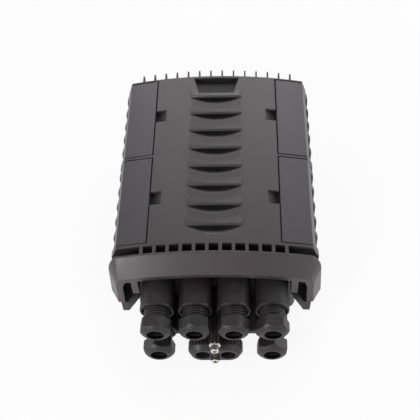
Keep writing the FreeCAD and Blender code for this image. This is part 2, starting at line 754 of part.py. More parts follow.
def cover_louvres(cover):
    """The spoon louvres, each hollowed out a little under its straight edge."""
    half, depth = size.louvre_half, size.louvre_depth
    slope = slope_angle(depth, size.louvre_reach)
    cut_radius = (half * half + depth * depth) / (depth * 2)
    scoop = cover.sketch("XZ", louvre_first, circles=[(0, cut_radius - depth, cut_radius)])
    bind(scoop, "AttachmentOffset.Base.y", arch_z(half))
    scoop.AttachmentOffset = Placement(scoop.AttachmentOffset.Base, Rotation(Vector(1, 0, 0), 0))
    bind(scoop, "AttachmentOffset.Rotation.Angle", -slope)
    louvre = cover.feature("Pocket", "louvre", Profile=scoop, Reversed=True)
    bind(louvre, "Length", size.louvre_reach * 2)
    louvre_row(cover, "louvres", louvre)
    wide, high = size.hollow_half, size.hollow_depth
    hollow_radius = (wide * wide + high * high) / (high * 2)
    roof = arch_z(half) - size.hollow_lip
    crescent = [(-wide, roof, hollow_radius, 1), (wide, roof)]
    start = louvre_first - depth * depth / size.louvre_reach
    hollow = cover.pocket("hollow", "XZ", start, louvre_first + size.hollow_reach, [crescent])
    louvre_row(cover, "hollows", hollow)


def cover_far_pocket(cover):
    """The far pocket, whose floor falls towards the far edge of the cover."""
    above = size.crown_height + size.latch_wall
    sections = []
    for y, half, depth in ((pocket_near, size.pocket_near_half, size.pocket_step),
                           (pocket_far, size.pocket_far_half, size.pocket_depth)):
        floor = size.crown_height - depth
        floor_half = half - size.pocket_batter * depth / size.pocket_depth
        sections.append((y, [(-floor_half, floor), (floor_half, floor), (half, size.crown_height),
                             (half, above), (-half, above), (-half, size.crown_height)]))
    cover.loft("SubtractiveLoft", "far_pocket", "XZ", sections)


def cover_pry_pockets(cover):
    """The pockets from which a tool lifts each latch, falling towards the latch."""
    above = size.crown_height + size.latch_wall
    inner = size.panel_half - size.pry_width
    ramp = [(inner, above), (inner, arch_z(inner) - size.pry_step),
            (size.panel_half, arch_z(size.panel_half) - size.pry_depth), (size.panel_half, above)]
    ramps = [mirrored_outline(ramp, side) for side in SIDES.values()]
    for end in LATCH_ENDS:
        middle = (BAYS[end][0] + BAYS[end][1]) / 2
        half_length = size.pry_length / 2
        cover.pocket(end + "_pry_pockets", "XZ", middle - half_length, middle + half_length, ramps)


def make_gasket():
    """The ring seal between base and cover."""
    gasket = Piece("cover_gasket")
    half_width = size.groove_width / 2 - size.gasket_slack
    rings = [gasket_ring(half_width), gasket_ring(-half_width)]
    gasket.pad("ring", "XY", rim_top - size.groove_depth, lid_base, rings)


def gasket_ring(offset):
    """The gasket's line round the rim, moved out by an offset."""
    corner = rim_corner - size.rim_width / 2 + offset
    return rounded(-gasket_half - offset, gasket_near - offset, gasket_half + offset, gasket_far + offset,
                   corner)


def lug_places(end):
    """Middles of the two hinge lugs of a latch bay, along the box."""
    return [BAYS[end][0] + size.lug_inset, BAYS[end][1] - size.lug_inset]


def make_latches():
    """Four clamp latches, their pins and slots."""
    for side_name, side in SIDES.items():
        for end in LATCH_ENDS:
            make_latch("latch_%s_%s" % (side_name, end), side, end)
            pin = cylinder("latch_pin_%s_%s" % (side_name, end), size.pin_radius,
                           BAYS[end][1] - BAYS[end][0] - size.latch_gap * 2,
                           pin_half * side, BAYS[end][0] + size.latch_gap, size.pin_height,
                           Vector(0, 1, 0))
            nodes.append(pin)


def make_latch(label, side, end):
    """One latch: an arched flange over the lid, a slotted side and a hinge knuckle."""
    latch = Piece(label)
    start = BAYS[end][0] + size.latch_gap
    finish = BAYS[end][1] - size.latch_gap
    wall = size.latch_wall
    flange = size.panel_half + size.latch_gap
    knuckle = size.knuckle_radius
    inner_half = top_half - wall
    profile = [
        (pin_half, size.pin_height - knuckle, knuckle, 1),
        (pin_half + knuckle, size.pin_height), (size.side_half, size.latch_knee),
        (size.side_half, size.side_height), (top_half, top_edge, arch_radius, 1),
        (flange, arch_z(flange)), (flange, arch_z(flange, wall), arch_radius - wall, -1),
        (inner_half, arch_z(inner_half, wall)), (size.side_half - wall, size.side_height),
        (size.side_half - wall, size.latch_knee), (pin_half, size.pin_height + knuckle, knuckle, 1),
        (pin_half - knuckle, size.pin_height, knuckle, 1),
    ]
    hole = (pin_half * side, size.pin_height, size.pin_radius + size.pin_clearance)
    latch.pad("shell", "XZ", start, finish, [mirrored_outline(profile, side)], [hole])
    reach = [pin_half - wall, size.side_half + wall]
    if side < 0:
        reach = [-reach[1], -reach[0]]
    middle = (start + finish) / 2
    slots = []
    half_slot = size.slot_length / 2
    for i in range(SLOTS):
        y = middle + size.slot_pitch * (i - (SLOTS - 1) / 2)
        slots.append(rectangle(y - half_slot, size.slot_foot, y + half_slot, slot_top))
    latch.pocket("slots", "YZ", reach[0], reach[1], slots)
    room = size.knuckle_radius + size.lug_gap * 2
    notch = [rectangle(y - size.lug_length / 2 - size.lug_gap, size.pin_height - room,
                       y + size.lug_length / 2 + size.lug_gap, size.pin_height + room)
             for y in lug_places(end)]
    out = [pin_half - room, size.side_half + wall]
    if side < 0:
        out = [-out[1], -out[0]]
    latch.pocket("lug_notches", "YZ", out[0], out[1], notch)


def make_base():
    """The deep base with its port wall, sealing rim, rails, cheeks, lugs and bosses."""
    base = Piece("base_shell")
    wall = size.base_wall
    port_wall = rectangle(-ports_half, wall, ports_half, size.upper_row + size.tube_radius)
    base.pad("port_wall", "XZ", -size.base_near, wall - size.base_near, [port_wall])
    body = rounded(-base_half, -size.base_near, base_half, base_far, size.base_corner)
    shelf = rim_top - size.rim_band + wall
    base.pad("body", "XY", 0, shelf, [body])
    rim = rounded(-seal_half, -seal_near, seal_half, seal_far, rim_corner)
    base.pad("rim", "XY", rim_top - size.rim_band, rim_top, [rim])
    base_rails(base)
    base_webs(base)
    hollow = rounded(wall - base_half, wall - size.base_near, base_half - wall,
                     base_far - wall, size.base_corner - wall)
    base.pocket("hollow", "XY", wall, shelf - wall, [hollow])
    opening = rounded(wall - base_half, size.rim_width - seal_near, base_half - wall,
                      seal_far - size.rim_width, size.base_corner - wall)
    base.pocket("opening", "XY", shelf - wall, rim_top, [opening])
    half = size.groove_width / 2
    base.pocket("groove", "XY", rim_top - size.groove_depth, rim_top,
                [gasket_ring(half), gasket_ring(-half)])
    base_bosses(base)
    base_bores(base)


def base_rails(base):
    """The rails along both sides, the hinge lugs on them and the cheeks ahead of them."""
    root_half = base_half - size.base_wall / 2
    rail = [(root_half, size.rail_foot), (rail_foot_half, size.rail_foot),
            (rail_top_half, size.rail_top), (root_half, size.rail_top)]
    rails = [mirrored_outline(rail, side) for side in SIDES.values()]
    base.pad("rails", "XZ", size.base_corner - size.base_near, base_far - size.base_corner, rails)
    knuckle = size.knuckle_radius
    lug = [(root_half, size.rail_foot + size.base_wall), (rail_top_half, size.rail_top - knuckle),
           (pin_half, size.pin_height - knuckle, knuckle, 1),
           (pin_half + knuckle, size.pin_height, knuckle, 1),
           (pin_half, size.pin_height + knuckle), (root_half, size.pin_height + knuckle)]
    lugs = [mirrored_outline(lug, side) for side in SIDES.values()]
    holes = [(pin_half * side, size.pin_height, size.pin_radius + size.pin_clearance)
             for side in SIDES.values()]
    for end in LATCH_ENDS:
        for i, y in enumerate(lug_places(end)):
            base.pad("%s_lugs_%d" % (end, i + 1), "XZ", y - size.lug_length / 2, y + size.lug_length / 2,
                     lugs, holes)
    root_y = size.base_corner - size.base_near
    for name, side in SIDES.items():
        top = [(base_half - size.base_wall, root_y), (base_half - size.base_wall, -size.base_near),
               (cheek_inner, rim_plane), (cheek_outer, rim_plane),
               (cheek_outer + size.cheek_spread, -size.base_near), (rail_top_half, root_y)]
        base.pad(name + "_cheek", "XY", size.rail_foot, size.rail_top, [mirrored_outline(top, side)])


def base_webs(base):
    """The webs between the lower ports, and the boss of the earth screw."""
    inside = size.base_wall / 2 - size.base_near
    foot = size.lower_row - size.web_wall / 2
    web = rectangle(size.twin_half + size.tube_radius + size.web_gap, foot,
                    size.lower_half - size.tube_radius - size.web_gap, foot + size.web_wall)
    webs = [mirrored_outline(web, side) for side in SIDES.values()]
    base.pad("webs", "XZ", -size.tube_mouth, inside, webs)
    base.pad("earth_boss", "XZ", -size.earth_mouth, inside, circles=[(0, earth_height, size.earth_boss)])


def base_bores(base):
    """The holes of the port sleeves in the port wall, and the earth screw's hole."""
    inside = size.base_wall * 2 - size.base_near
    hole = spigot_radius + size.spigot_slack
    base.pocket("port_holes", "XZ", -size.base_near, inside, circles=[(x, z, hole) for x, z in PORTS])
    base.pocket("twin_hole", "XZ", -size.base_near, inside, [stadium(size.twin_half, size.lower_row, hole)])
    depth = size.screw_length + size.screw_slack
    base.pocket("earth_hole", "XZ", -size.earth_mouth, depth - size.earth_mouth,
                circles=[(0, earth_height, size.screw_shank + size.screw_slack)])


def base_bosses(base):
    """The bosses for the back inserts, the bracket posts and the clamp pedestals."""
    floor = size.base_wall
    mounts = [(size.mount_half_x * i, size.mount_half_y * j) for i in (-1, 1) for j in (-1, 1)]
    sunk = floor / 2
    outer = size.insert_radius + size.boss_wall
    base.pad("mount_bosses", "XY", sunk, size.insert_length + size.boss_wall,
             circles=[(x, y, outer) for x, y in mounts])
    posts = bracket_posts()
    base.pad("posts", "XY", sunk, size.post_height, circles=[(x, y, size.post_radius) for x, y in posts])
    base.pocket("post_holes", "XY", size.post_height - size.small_depth - size.small_slack, size.post_height,
                circles=[(x, y, size.small_screw + size.small_slack) for x, y in posts])
    half_x, half_y = size.clamp_width / 2, size.clamp_depth / 2
    blocks = [rectangle(x - half_x, size.clamp_at - half_y, x + half_x, size.clamp_at + half_y)
              for x, _ in upper_ports]
    base.pad("pedestals", "XY", sunk, size.pedestal_height, blocks)
    hole = size.insert_radius + size.insert_slack
    base.pocket("mount_holes", "XY", 0, size.insert_length, circles=[(x, y, hole) for x, y in mounts])


def bracket_posts():
    """Places of the four posts below the tray bracket."""
    return [(post_half * i, y) for i in (-1, 1) for y in (size.post_near, post_far)]


def make_sleeves():
    """The port sleeves, each with a shoulder on the port wall and a spigot through it."""
    for number, (x, z) in enumerate(PORTS, start=1):
        sleeve = Piece("port_sleeve_%d" % number)
        sleeve.turned("Revolution", "tube", [
            (size.mouth_radius, 0), (size.tube_radius, 0), (size.tube_radius, sleeve_shoulder),
            (spigot_radius, sleeve_shoulder), (spigot_radius, sleeve_length),
            (size.port_bore, sleeve_length), (size.port_bore, size.mouth_recess),
            (size.mouth_radius, size.mouth_recess),
        ])
        sleeve.place(x, -size.tube_mouth, z)
    twin = Piece("twin_port_sleeve")
    bore = stadium(size.twin_half, size.lower_row, size.twin_bore)
    tube = stadium(size.twin_half, size.lower_row, size.tube_radius)
    spigot = stadium(size.twin_half, size.lower_row, spigot_radius)
    twin.pad("tube", "XZ", -size.tube_mouth, -size.base_near, [tube, bore])
    twin.pad("spigot", "XZ", -size.base_near, sleeve_length - size.tube_mouth, [spigot, bore])


def make_glands():
    """Six cable glands, each a threaded claw body, a seal and a hexagon nut."""
    for number, (x, z) in enumerate(PORTS, start=1):
        for made in (gland_body(number), gland_seal(number), gland_nut(number)):
            made.place(x, -size.tube_mouth, z)


def gland_body(number):
    """A tube with a shoulder in the recess, an outside thread and a tapered claw."""
    gland = Piece("gland_body_%d" % number)
    seat = size.mouth_recess
    root_radius = size.port_bore - size.gland_slack
    gland.turned("Revolution", "sleeve", [
        (size.claw_bore, seat + size.gland_root), (root_radius, seat + size.gland_root),
        (root_radius, seat), (size.thread_radius, seat), (size.thread_radius, -size.thread_length),
        (size.claw_radius, -size.thread_length - size.claw_length),
        (size.claw_bore, -size.thread_length - size.claw_length),
    ])
    return gland


def gland_seal(number):
    """The rubber sleeve that grips the cable inside the claw."""
    seal = Piece("gland_seal_%d" % number)
    front = -size.thread_length - size.claw_length
    back = front + size.seal_length
    outer = size.claw_bore - size.seal_slack
    seal.turned("Revolution", "sleeve", [(size.seal_bore, front), (outer, front), (outer, back),
                                         (size.seal_bore, back)])
    return seal


def gland_nut(number):
    """A hexagon nut with a domed front round the cable's mouth."""
    nut = Piece("gland_nut_%d" % number)
    start = -size.nut_start
    shoulder = start - size.nut_hex
    mouth = shoulder - size.nut_dome
    corner = size.nut_flats / math.sqrt(3)
    turn = math.radians(NUT_TURNS[number - 1])
    hexagon = []
    for i in range(6):
        angle = turn + math.pi / 2 + math.pi / 3 * i
        hexagon.append((corner * math.cos(angle), corner * math.sin(angle)))
    nut.pad("hexagon", "XZ", mouth, start, [hexagon])
    rim = size.nut_mouth + size.nut_rim
    flats = size.nut_flats / 2
    outside = corner + size.nut_rim
    dome_radius = size.nut_dome + size.nut_rim * 2
    nut.turned("Groove", "dome", [
        (rim, mouth - size.nut_rim), (outside, mouth - size.nut_rim), (outside, shoulder + size.nut_rim * 2),
        (corner, shoulder + size.nut_rim * 2), (flats, shoulder, dome_radius, -1), (rim, mouth),
    ])
    clear = size.nut_clearance
    claw = -size.thread_length - size.claw_length - clear
    nut.turned("Groove", "bore", [
        (0, start + size.nut_rim), (size.thread_radius + clear, start + size.nut_rim),
        (size.thread_radius + clear, clear - size.thread_length),
        (size.claw_radius + clear * 2, claw), (size.nut_mouth, claw - clear),
        (size.nut_mouth, mouth - size.nut_rim), (0, mouth - size.nut_rim),
    ])
    return nut


def make_twin_gland():
    """The twin port's sleeve, seal, cap and clamp screw."""
    row = size.lower_row
    mouth = -size.tube_mouth
    cap_start = mouth - size.twin_neck
    cap_face = cap_start - size.cap_length - size.cap_dome
    cables = [(size.twin_half * side, row, size.cable_radius) for side in SIDES.values()]
    hole = (0, row, size.screw_shank + size.screw_slack)
    sleeve = Piece("twin_gland_body")
    outer = size.twin_bore - size.twin_slack
    wall = size.base_wall - size.twin_slack * 2
    seat = cap_start - size.cap_length + size.cap_wall
    sleeve.pad("sleeve", "XZ", seat, mouth + size.twin_root,
               [stadium(size.twin_half, row, outer), stadium(size.twin_half, row, outer - wall)])
    sleeve.pad("floor", "XZ", mouth + size.twin_root - wall, mouth + size.twin_root,
               [stadium(size.twin_half, row, outer - wall / 2)], cables + [hole])
    seal = Piece("twin_gland_seal")
    seal_radius = outer - wall - size.twin_slack
    seal.pad("block", "XZ", seat, mouth + size.twin_root - wall - size.twin_slack,
             [stadium(size.twin_half, row, seal_radius)], cables + [hole])
    cap = Piece("twin_gland_cap")
    full = stadium(size.twin_half, row, size.cap_radius)
    cap.pad("skirt", "XZ", cap_start - size.cap_length, cap_start, [full])
    cap.loft("AdditiveLoft", "taper", "XZ", [(cap_start - size.cap_length, full),
             (cap_face, stadium(size.twin_half, row, size.cap_radius - size.cap_inset))])
    cap.pocket("socket", "XZ", seat, cap_start, [stadium(size.twin_half, row, size.twin_bore)])
    cap.pocket("cable_holes", "XZ", cap_face, cap_start, circles=cables + [hole])
    screw_seat = cap_face + size.twin_head_sink
    head_hole = (0, row, size.screw_head + size.screw_slack)
    cap.pocket("screw_seat", "XZ", cap_face, screw_seat, circles=[head_hole])
    screw_reach = mouth + size.twin_root - screw_seat
    clamp_screw("twin_clamp_screw", row, screw_seat, size.twin_head_height, screw_reach)


def clamp_screw(label, height, seat, head_height, length):
    """A socket head screw along the box, its head standing out from the ports."""
    screw = Piece(label)
    screw.pad("head", "XZ", -head_height, 0, circles=[(0, 0, size.screw_head)])
    screw.pad("shank", "XZ", 0, length, circles=[(0, 0, size.screw_shank)])
    hexagon = []
    for i in range(6):
        angle = math.pi / 3 * i
        hexagon.append((size.screw_socket * math.cos(angle), size.screw_socket * math.sin(angle)))
    screw.pocket("socket", "XZ", -head_height, -head_height / 2, [hexagon])
    screw.place(0, seat, height)


def make_earth_screw():
    """The earth screw and its washer on the boss above the twin port."""
    washer = Piece("earth_washer")
    face = -size.earth_mouth
    washer.pad("disc", "XZ", face - size.washer_wall, face,
               circles=[(0, earth_height, size.washer_radius),
                        (0, earth_height, size.screw_shank + size.screw_slack)])
    clamp_screw("earth_screw", earth_height, face - size.washer_wall, size.screw_head_height,
                size.screw_length)


def make_inserts():
    """Four threaded inserts in the back for the wall or pole bracket."""
    rings = []
    for i in (-1, 1):
        for j in (-1, 1):
            place = (size.mount_half_x * i, size.mount_half_y * j)
            outer = cylinder("insert_outer", size.insert_radius, size.insert_length, *place, 0)
            inner = cylinder("insert_inner", size.insert_bore, size.insert_length, *place, 0)
            rings.append(joined("Cut", "insert", outer, inner))
    group("mount_inserts", rings)


def screws(label, places, top):
    """Small round-headed screws, standing at their places with their heads above top."""
    made = []
    for x, y in places:
        head = cylinder("small_head", size.small_head, size.small_head_height, x, y, top)
        shank = cylinder("small_shank", size.small_screw, size.small_depth, x, y, top - size.small_depth)
        made.append(joined("Fuse", "small_screw", head, shank))
    return group(label, made)


def make_tray_stack():
    """The bracket with two hinged splice trays, their rods, holders and cover."""
    bracket = Piece("tray_bracket")
    low = size.post_height
    edge = size.bracket_edge
    half = post_half + edge
    plate = rounded(-half, size.post_near - edge, half, post_far + edge, edge)
    screw_hole = size.small_screw + size.small_slack
    bracket.pad("plate", "XY", low, low + size.bracket_wall, [plate],
                [(x, y, screw_hole) for x, y in bracket_posts()])
    floors = [low + size.bracket_wall + size.tray_rise + size.tray_step * i for i in range(2)]
    hinge_y = tray_far + size.ear_radius
    bore = size.rod_radius + size.pin_clearance
    for i in (-1, 1):
        x0 = ear_half * i - size.ear_width / 2
        tower = [(hinge_y - size.ear_radius, low + size.bracket_wall / 2),
                 (hinge_y + size.ear_radius, low + size.bracket_wall / 2),
                 (hinge_y + size.ear_radius, floors[1] + size.ear_radius, size.ear_radius, 1),
                 (hinge_y, floors[1] + size.ear_radius * 2, size.ear_radius, 1),
                 (hinge_y - size.ear_radius, floors[1] + size.ear_radius)]
        bracket.pad("tower", "YZ", x0, x0 + size.ear_width, [tower],
                    [(hinge_y, z + size.ear_radius, bore) for z in floors])
    screws("bracket_screws", bracket_posts(), low + size.bracket_wall)
    holders = []
    for name, floor in zip(("lower", "upper"), floors):
        splice_tray("splice_tray_" + name, floor, hinge_y, bore)
        reach = ear_half + size.ear_width * 2
        nodes.append(cylinder("tray_rod_" + name, size.rod_radius, reach * 2, -reach, hinge_y,
                              floor + size.ear_radius, Vector(1, 0, 0)))
        middle = (size.tray_near + tray_far) / 2
        for i in (-1, 1):
            x = size.holder_width * i
            half_x = size.holder_width / 2 - size.ear_gap
            half_y = size.holder_length / 2
            low_z = floor + size.tray_wall
            holders.append(box("holder", x - half_x, middle - half_y, low_z,
                               x + half_x, middle + half_y, low_z + size.holder_height))
    group("splice_holders", holders)
    lid = Piece("tray_cover")
    top = floors[1] + size.tray_depth
    lid.pad("sheet", "XY", top, top + size.cover_sheet, [tray_outline(0)])


def tray_outline(inset):
    """A splice tray's outline, moved in by an inset."""
    return rounded(inset - tray_half, size.tray_near + inset, tray_half - inset,
                   tray_far - inset, size.tray_corner - inset)


def splice_tray(label, floor, hinge_y, bore):
    """A shallow tray with two fibre drums and hinge ears on its far end."""
    tray = Piece(label)
    tray.pad("block", "XY", floor, floor + size.tray_depth, [tray_outline(0)])
    tray.pocket("well", "XY", floor + size.tray_wall, floor + size.tray_depth, [tray_outline(size.tray_wall)])
    middle = (size.tray_near + tray_far) / 2
    drums = []
    for i in (-1, 1):
        y = middle + size.drum_offset * i
        drums.append((0, y, size.drum_radius))
        drums.append((0, y, size.drum_radius - size.tray_wall))
    drum_top = floor + size.tray_depth - size.tray_wall
    tray.pad("drums", "XY", floor + size.tray_wall / 2, drum_top, circles=drums)
    for i in (-1, 1):
        x0 = (ear_half + size.ear_width + size.ear_gap) * i - size.ear_width / 2
        inside = tray_far - size.tray_corner
        ear = [(inside, floor), (hinge_y, floor, size.ear_radius, 1),
               (hinge_y + size.ear_radius, floor + size.ear_radius, size.ear_radius, 1),
               (hinge_y, floor + size.ear_radius * 2), (inside, floor + size.ear_radius * 2)]
        tray.pad("ear", "YZ", x0, x0 + size.ear_width, [ear], [(hinge_y, floor + size.ear_radius, bore)])


def make_cable_clamps():
    """The blocks that hold each cable's strength member, with their screws."""
    blocks = []
    top = size.pedestal_height + size.clamp_height
    half_x, half_y = size.clamp_width / 2, size.clamp_depth / 2
    for x, _ in upper_ports:
        block = box("clamp", x - half_x, size.clamp_at - half_y, size.pedestal_height,
                    x + half_x, size.clamp_at + half_y, top)
        passage = cylinder("clamp_passage", size.clamp_bore, size.clamp_depth, x, size.clamp_at - half_y,
                           size.pedestal_height + size.clamp_bore_rise, Vector(0, 1, 0))
        drilled = joined("Cut", "clamp_drilled", block, passage)
        tap = cylinder("clamp_tap", size.small_screw + size.small_slack, size.clamp_height, x, size.clamp_at,
                       size.pedestal_height)
        blocks.append(joined("Cut", "clamp_block", drilled, tap))
    group("cable_clamps", blocks)
    screws("clamp_screws", [(x, size.clamp_at) for x, _ in upper_ports], top)


def takes_away(feature):
    """Whether a feature is a cut, or a pattern that repeats one."""
    kind = feature.TypeId.split("::")[1]
    if kind == "LinearPattern":
        return takes_away(feature.Originals[0])
    return kind in ("Pocket", "Groove", "SubtractiveLoft")


def check_document():
    """Stops the build if an object failed, a solid is bad or a cut took nothing away."""
    for item in doc.Objects:
        if "Invalid" in item.State or "Error" in item.State:
            raise RuntimeError("failed: %s %s" % (item.Label, item.State))
    for item in doc.Objects:
        if item.isDerivedFrom("PartDesign::Feature") and item.BaseFeature:
            change = item.Shape.Volume - item.BaseFeature.Shape.Volume
            if takes_away(item) and change > -0.01 or not takes_away(item) and change < 0.01:
                raise RuntimeError("no effect: %s" % item.Label)
    for node in nodes:
        if node.Shape.isNull() or not node.Shape.isValid():
            raise RuntimeError("bad solid: " + node.Label)


def export_nodes():
    """Writes each node to its own file."""
    os.makedirs("parts", exist_ok=True)
    for node in nodes:
        node.Shape.exportStep("parts/%s.step" % node.Label)


make_base()
make_cover()
make_gasket()
make_latches()
make_sleeves()
make_glands()
make_twin_gland()
make_earth_screw()
make_inserts()
make_tray_stack()
make_cable_clamps()
doc.recompute()
check_document()
export_nodes()
for node in nodes:
    solids = node.Shape.Solids
    print("%-24s solids %d volume %.0f" % (node.Label, len(solids), node.Shape.Volume))
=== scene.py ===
"""Looks of a sealed fibre termination box: moulded shells, clamp latches, cable glands and bright screws."""

import json
import logging
import math
from dataclasses import dataclass, field
from enum import Enum
from typing import Any, Sequence

import bmesh
import bpy
import numpy as np
from mathutils import Matrix, Vector


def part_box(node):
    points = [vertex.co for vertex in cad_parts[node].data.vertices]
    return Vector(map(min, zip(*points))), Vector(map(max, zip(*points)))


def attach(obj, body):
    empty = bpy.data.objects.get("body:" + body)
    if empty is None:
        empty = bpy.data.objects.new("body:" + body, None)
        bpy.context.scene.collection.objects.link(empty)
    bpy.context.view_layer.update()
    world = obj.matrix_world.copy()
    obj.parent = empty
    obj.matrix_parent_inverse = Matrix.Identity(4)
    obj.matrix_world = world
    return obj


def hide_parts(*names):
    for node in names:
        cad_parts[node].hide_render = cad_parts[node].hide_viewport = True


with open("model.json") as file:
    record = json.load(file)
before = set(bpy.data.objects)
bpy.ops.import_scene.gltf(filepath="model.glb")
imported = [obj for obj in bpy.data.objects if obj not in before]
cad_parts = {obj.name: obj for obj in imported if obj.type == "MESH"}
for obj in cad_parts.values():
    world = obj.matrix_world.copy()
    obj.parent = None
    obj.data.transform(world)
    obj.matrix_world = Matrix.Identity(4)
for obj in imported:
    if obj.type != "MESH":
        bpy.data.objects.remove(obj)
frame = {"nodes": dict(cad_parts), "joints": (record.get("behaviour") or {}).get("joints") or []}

LOG = logging.getLogger("termination_box")
HOUSING = "housing"
PORT_NUMBERS = range(1, 7)
MM = 0.001
# Places this near to each other on a turned part are the same place.
SAME = 0.01 * MM
# A step on a turned part is longer than this.
STEP = 0.1 * MM
FULL_TURN = 2.0 * math.pi
# Angle from a hexagon's corner to the middle of a flat.
HALF_FLAT = math.pi / 6.0
# The angles at which every quarter round has its rows.
QUARTER = np.linspace(0.0, math.pi / 2.0, 7)
WHITE = (1.0, 1.0, 1.0, 1.0)

Colour = tuple[float, float, float]
Material = bpy.types.Material
Piece = bpy.types.Object
Socket = bpy.types.NodeSocket
Tree = bpy.types.NodeTree


@dataclass(frozen=True)
class CoverTop:
    """The arched top of the cover, in metres: its arch, its hollows and its louvre plates."""

    crown: float = 114.0 * MM
    radius: float = 472.6 * MM
    half_width: float = 96.0 * MM
    windows_far: float = -103.3 * MM
    windows_near: float = -113.0 * MM
    windows_foot: float = 70.1 * MM
    # Depths under the arch at which the painted shade in the hollows begins and is full.
    shade_start: float = 0.6 * MM
    shade_full: float = 3.4 * MM
    louvres_half: float = 28.6 * MM
    louvres_edge: float = 1.2 * MM
    louvres_near: float = -81.5 * MM
    louvres_far: float = 97.0 * MM
    plates_half: float = 32.5 * MM
    plates_far: float = 113.0 * MM
    plates_height: float = 1.8 * MM
    plates_kept: float = 0.08

    @property
    def centre(self) -> float:
        """Height of the line along the box that the arch is a circle round."""
        return self.crown - self.radius

    def height(self, across: np.ndarray) -> np.ndarray:
        """Height of the arch at places across the box, on a circle of its radius."""
        return self.centre + np.sqrt(self.radius ** 2 - across ** 2)


COVER_TOP = CoverTop()


class Side(Enum):
    """The two sides of the box, by the sign of X."""

    LEFT = -1
    RIGHT = 1


class Finish(Enum):
    """Every finish on the box, by the material slot that it fills."""

    COVER = "cover_plastic"
    LATCH = "latch_plastic"
    BASE = "base_plastic"
    GLAND = "gland_plastic"
    RUBBER = "seal_rubber"
    STEEL = "steel"
    NICKEL = "bright_metal"
    BRASS = "insert_brass"
    TRAY = "tray_plastic"
    CLEAR = "tray_clear"


class NodeGraph:
    """A shader node tree that is filled by short calls."""

    def __init__(self, tree: Tree) -> None:
        """Keeps the tree that the calls fill."""
        self.tree = tree

    def feed(self, socket: Socket, value: Any) -> None:
        """Gives an input its value.

        Args:
            socket: The input.
            value: An output to link to it, or else its own number or colour.
        """
        if isinstance(value, Socket):
            self.tree.links.new(value, socket)
        else:
            socket.default_value = value

    def fill(self, node: bpy.types.Node, values: dict[str, Any]) -> None:
        """Gives several inputs of a node their values, by name."""
        for key, value in values.items():
            self.feed(node.inputs[key], value)

    def add(self, kind: str, inputs: dict[str, Any] | None = None, **settings: Any) -> bpy.types.Node:
        """Adds one node.

        Args:
            kind: The node's type without its ShaderNode prefix.
            inputs: Outputs, numbers or colours for its inputs, by name.
            settings: Values of its own properties.

        Returns:
            The new node.
        """
        node = self.tree.nodes.new("ShaderNode" + kind)
        for key, value in settings.items():
            setattr(node, key, value)
        self.fill(node, inputs or {})
        return node

    def group(self, tree: Tree, **inputs: Any) -> Any:
        """Places a node group with its inputs and returns its outputs."""
        return self.add("Group", inputs, node_tree=tree).outputs

    def object_spot(self) -> Socket:
        """The place on the piece, in Object coordinates."""
        return self.add("TexCoord").outputs["Object"]

    def math(self, operation: str, first: Any, second: Any = 0.0, clamp: bool = False) -> Socket:
        """Adds a math node.

        Args:
            operation: The math node's operation.
            first: An output or a number.
            second: An output or a number.
            clamp: Whether the result stays from 0 to 1.

        Returns:
            The result.
        """
        node = self.add("Math", operation=operation, use_clamp=clamp)
        self.feed(node.inputs[0], first)
        self.feed(node.inputs[1], second)
        return node.outputs[0]

    def times(self, first: Any, second: Any) -> Socket:
        """Multiplies two values, which for marks of 0 and 1 means both at once."""
        return self.math("MULTIPLY", first, second)

    def between(self, value: Socket, low: float, high: float) -> Socket:
        """Marks with 1 where a value lies between two limits."""
        return self.times(self.math("GREATER_THAN", value, low), self.math("LESS_THAN", value, high))

    def stretched(self, vector: Socket, scale: Sequence[float]) -> Socket:
        """Scales a coordinate by three factors."""
        return self.add("Mapping", {"Vector": vector, "Scale": tuple(scale)}).outputs["Vector"]

    def noise(self, vector: Socket, scale: Any, detail: float, roughness: float = 0.55) -> Socket:
        """Adds a noise whose scale is in cells per metre."""
        values = {"Vector": vector, "Scale": scale, "Detail": detail, "Roughness": roughness}
        return self.add("TexNoise", values).outputs["Fac"]

    def ranged(self, value: Socket, low: float, high: float, to_low: float = 0.0,
               to_high: float = 1.0) -> Socket:
        """Carries a value from one range to another, clamped at both ends."""
        values = {"Value": value, "From Min": low, "From Max": high, "To Min": to_low, "To Max": to_high}
        return self.add("MapRange", values).outputs["Result"]

    def mix(self, first: Any, second: Any, factor: Socket) -> Socket:
        """Blends two colours by a factor."""
        sides = {"A": first, "B": second, "Factor": factor}
        return self.add("Mix", sides, data_type="RGBA").outputs["Result"]

    def bump(self, height: Socket, distance: float, **inputs: Any) -> Socket:
        """Turns a height into a normal; the distance is in metres."""
        inputs = {"Strength": 1.0, "Distance": distance, "Height": height, **inputs}
        return self.add("Bump", inputs).outputs["Normal"]


def opaque(colour: np.ndarray) -> tuple[float, ...]:
    """A colour held from 0 to 1, with full cover."""
    return (*np.clip(colour, 0.0, 1.0), 1.0)


def new_group(name: str, inputs: dict[str, str], outputs: Sequence[str]) -> tuple[NodeGraph, Any, Any]:
    """Makes an empty shader node group.

    Args:
        name: The group's name.
        inputs: Socket types of its inputs, by name.
        outputs: Names of its outputs, which are numbers.

    Returns:
        The group's graph, the values that come in and the sockets that go out.
    """
    group = bpy.data.node_groups.new(name, "ShaderNodeTree")
    for label, kind in inputs.items():
        group.interface.new_socket(label, in_out="INPUT", socket_type="NodeSocket" + kind)
    for label in outputs:
        group.interface.new_socket(label, in_out="OUTPUT", socket_type="NodeSocketFloat")
    source = group.nodes.new("NodeGroupInput")
    sink = group.nodes.new("NodeGroupOutput")
    return NodeGraph(group), source.outputs, sink.inputs


